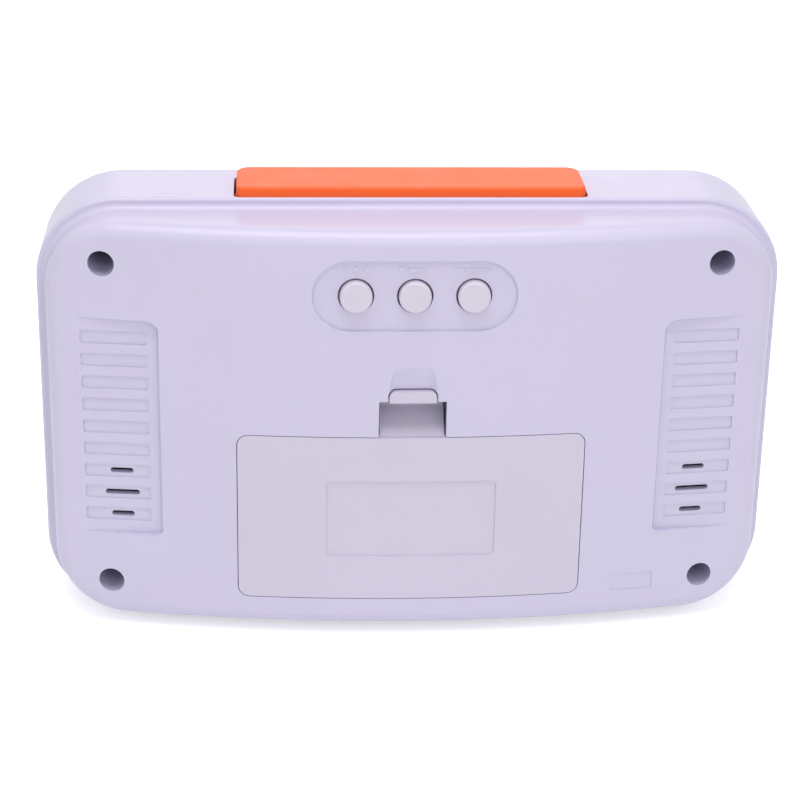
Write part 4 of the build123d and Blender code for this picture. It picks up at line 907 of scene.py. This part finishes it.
@dataclass
class MainBoard(Assembly):
    """The main board, its parts, its solder joints and the talk switch."""

    back_y: float = -7.4
    joint_radius: float = 0.55

    def joint(self) -> bpy.types.Object:
        """One solder joint: a low dome with a concave foot and a cut pin."""
        shape = [(1.0, 0.0), (0.72, 0.18), (0.5, 0.42), (0.36, 0.7), (0.24, 0.78), (0.22, 1.1), (0.0, 1.12)]
        sides = 12
        points: list[Point] = []
        for side in range(sides):
            angle = 2 * math.pi * side / sides
            points += [(self.joint_radius * r * math.cos(angle), self.joint_radius * r * math.sin(angle),
                        self.joint_radius * z) for r, z in shape]
        count = len(shape)
        faces: list[tuple[int, ...]] = [tuple(side * count for side in range(sides))]
        for side in range(sides):
            here, there = side * count, (side + 1) % sides * count
            faces += [(here + k, there + k, there + k + 1, here + k + 1) for k in range(count - 1)]
        unit = mesh_piece("solder_joint_unit", points, faces)
        unit.data.polygons.foreach_set("use_smooth", [True] * len(unit.data.polygons))
        return unit

    def joints(self) -> bpy.types.Object:
        """Rows of joints beside the ribbon, the switch, the crystal and the leads."""
        places: list[Point] = []
        places += [(x, self.back_y, 60.0) for x in (-4.0, -2.4, -0.8, 0.8, 2.4, 4.0)]
        places += [(x, self.back_y, 64.2) for x in (-2.0, 2.0)]
        places += [(x, self.back_y, 50.4) for x in (14.2, 15.8)]
        places += [(-44.2, self.back_y, z) for z in (54.8, 46.8)]
        places += [(-35.8, self.back_y, z) for z in (54.8, 46.8)]
        places += [(34.6, self.back_y, 31.7), (34.6, self.back_y, 16.8)]
        places += [(45.4, self.back_y, 46.6), (48.6, self.back_y, 46.6)]
        places += [(x, self.back_y, 12.6) for x in range(-34, 36, 4)]
        return spread_unit("solder_joints", self.joint(), places, (-math.pi / 2, 0.0, 0.0), SOLDER)

    def build(self) -> None:
        """Dresses the board's nodes and sets the joints."""
        for node, finish in (
            ("main_board", BOARD), ("clock_chip", RESIN), ("quartz_crystal", CAN), ("capacitors", SLEEVE),
            ("resistors", RESIN), ("talk_switch", SWITCH), ("talk_plunger", HOLDER), ("ribbon_cable", RIBBON),
            ("red_lead", RED_LEAD), ("black_lead", BLACK_LEAD), ("speaker_leads", BLACK_LEAD),
        ):
            dress(node, finish)
        self.hand_over(self.joints(), "case", "plated_steel")


@dataclass
class PushControls(Assembly):
    """The talk bar with its coils, the three keys and the key board."""

    keys: tuple[str, str, str] = ("mode", "hour", "minute")

    def build(self) -> None:
        """Dresses the controls."""
        dress("talk_bar", BAR)
        for node in ("bar_spring_left", "bar_spring_right"):
            dress(node, SPRING)
        for key in self.keys:
            dress(key + "_key", KEY)
            dress(key + "_plunger", SWITCH)
        dress("key_board", BOARD)
        dress("key_switches", CAN)


@dataclass
class BatteryBay(Assembly):
    """The door, the two cells, their cone springs and the contact plates."""

    def build(self) -> None:
        """Dresses the bay."""
        dress("battery_door", DOOR)
        for node in ("upper_cell", "lower_cell"):
            dress(node, WRAP)
        for node in ("upper_cell_spring", "lower_cell_spring"):
            dress(node, SPRING)
        for node in ("bridge_contact", "positive_contact", "negative_contact"):
            dress(node, CONTACT)


@dataclass
class Speaker(Assembly):
    """The speaker's basket, magnet, cone and dust cap."""

    def build(self) -> None:
        """Dresses the speaker."""
        for node, finish in (("speaker_basket", BASKET), ("speaker_magnet", MAGNET),
                             ("speaker_cone", CONE), ("speaker_dust_cap", CONE)):
            dress(node, finish)


@dataclass
class Studio:
    """Floor, world, soft lamps and the camera at the photograph's view."""

    floor_side: float = 6.0
    floor_drop: float = 0.0001
    floor_colour: Colour = (247, 247, 248)
    floor_roughness: float = 0.9
    floor_glow: float = 0.46
    ambient: float = 0.58
    camera_place: Point = (25.43, 389.73, 203.44)
    camera_turn: Point = (67.3556, -0.9904, 176.8670)
    focal: float = 100.8
    lamps: Sequence[tuple[str, Point, float, float, Colour]] = (
        ("top_softbox", (20.0, 160.0, 680.0), 420.0, 2.4, (248, 241, 251)),
        ("back_softbox", (-120.0, 660.0, 400.0), 420.0, 0.95, (250, 248, 250)),
        ("front_softbox", (-40.0, -700.0, 420.0), 420.0, 0.3, (255, 246, 250)),
    )

    def plain_rays(self, tree: bpy.types.NodeTree) -> bpy.types.NodeSocket:
        """One where a ray comes from the camera, a gloss or a clear piece, else zero."""
        path = tree.nodes.new("ShaderNodeLightPath")
        share = path.outputs["Is Camera Ray"]
        for name in ("Is Glossy Ray", "Is Transmission Ray"):
            most = tree.nodes.new("ShaderNodeMath")
            most.operation = "MAXIMUM"
            tree.links.new(share, most.inputs[0])
            tree.links.new(path.outputs[name], most.inputs[1])
            share = most.outputs[0]
        return share

    def world(self) -> None:
        """White background for plain rays, and a softer even light for the rest."""
        world = bpy.data.worlds.new("soft_studio")
        bpy.context.scene.world = world
        world.use_nodes = True
        tree = world.node_tree
        ground = tree.nodes["Background"]
        ground.inputs["Color"].default_value = (1.0, 1.0, 1.0, 1.0)
        level = tree.nodes.new("ShaderNodeMapRange")
        level.inputs["To Min"].default_value = self.ambient
        level.inputs["To Max"].default_value = 1.0
        tree.links.new(self.plain_rays(tree), level.inputs["Value"])
        tree.links.new(level.outputs[0], ground.inputs["Strength"])

    def floor(self) -> None:
        """Pale floor that keeps the clock's shadow and shows white elsewhere."""
        half = self.floor_side / 2
        mesh = bpy.data.meshes.new("studio_floor")
        corners = [(-half, -half), (half, -half), (half, half), (-half, half)]
        mesh.from_pydata([(x, y, -self.floor_drop) for x, y in corners], [], [(0, 1, 2, 3)])
        floor = bpy.data.objects.new("studio_floor", mesh)
        bpy.context.scene.collection.objects.link(floor)
        material = bpy.data.materials.new("pale_studio_floor")
        material.use_nodes = True
        tree = material.node_tree
        surface = tree.nodes["Principled BSDF"]
        surface.inputs["Base Color"].default_value = linear(self.floor_colour)
        surface.inputs["Roughness"].default_value = self.floor_roughness
        surface.inputs["Emission Color"].default_value = (1.0, 1.0, 1.0, 1.0)
        glow = tree.nodes.new("ShaderNodeMath")
        glow.operation = "MULTIPLY"
        tree.links.new(self.plain_rays(tree), glow.inputs[0])
        glow.inputs[1].default_value = self.floor_glow
        tree.links.new(glow.outputs[0], surface.inputs["Emission Strength"])
        mesh.materials.append(material)

    def lights(self) -> None:
        """Soft square lamps that look at the clock's middle."""
        aim = Vector((0.0, 0.0, MID_Z * MM))
        for name, place, side, power, colour in self.lamps:
            lamp = bpy.data.lights.new(name, "AREA")
            lamp.size = side * MM
            lamp.energy = power
            lamp.color = linear(colour)[:3]
            holder = bpy.data.objects.new(name, lamp)
            holder.location = Vector(place) * MM
            holder.rotation_euler = (aim - holder.location).to_track_quat("-Z", "Y").to_euler()
            bpy.context.scene.collection.objects.link(holder)

    def camera(self) -> None:
        """The camera where the photograph was taken from."""
        data = bpy.data.cameras.new("photo_camera")
        data.sensor_width = 36.0
        data.lens = self.focal
        data.clip_start = 0.01
        data.clip_end = 20.0
        camera = bpy.data.objects.new("photo_camera", data)
        camera.location = Vector(self.camera_place) * MM
        camera.rotation_euler = [math.radians(angle) for angle in self.camera_turn]
        bpy.context.scene.collection.objects.link(camera)
        bpy.context.scene.camera = camera

    def build(self) -> None:
        """Sets the stage up."""
        bpy.context.scene.view_settings.view_transform = "Standard"
        self.world()
        self.floor()
        self.lights()
        self.camera()


WELLS = [(x, z) for x in (-55.6, 55.6) for z in (9.45, 72.15)]
BOARD_POSTS = [(x, z) for x in (-44.0, 44.0) for z in (10.8, 70.8)]


def main() -> None:
    """Builds the clock's looks in order."""
    logging.basicConfig(level=logging.INFO, format="%(name)s: %(message)s")
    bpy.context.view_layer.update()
    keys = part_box("key_board_screws")
    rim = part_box("speaker_screws")
    for part in (
        Studio(),
        Case(),
        Display(),
        MainBoard(),
        PushControls(),
        BatteryBay(),
        Speaker(),
        ScrewSet("housing_screws", WELLS, -2.5, True, 2.1, 1.6, 1.15, 10.5),
        ScrewSet("board_screws", BOARD_POSTS, -7.4, True, 1.8, 1.1, 0.9, 5.8, 0.7),
        ScrewSet("key_board_screws", [(-17.4, 67.8), (17.4, 67.8)], keys[0].y / MM + 1.1, False,
                 1.8, 1.1, 0.9, (keys[1].y - keys[0].y) / MM - 1.1, 0.7),
        ScrewSet("speaker_screws", [(47.0, 12.7), (47.0, 43.9)], rim[0].y / MM + 1.1, False,
                 2.3, 1.1, 0.9, (rim[1].y - rim[0].y) / MM - 1.1, 0.7),
    ):
        part.build()
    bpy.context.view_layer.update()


if __name__ == "__main__":
    main()
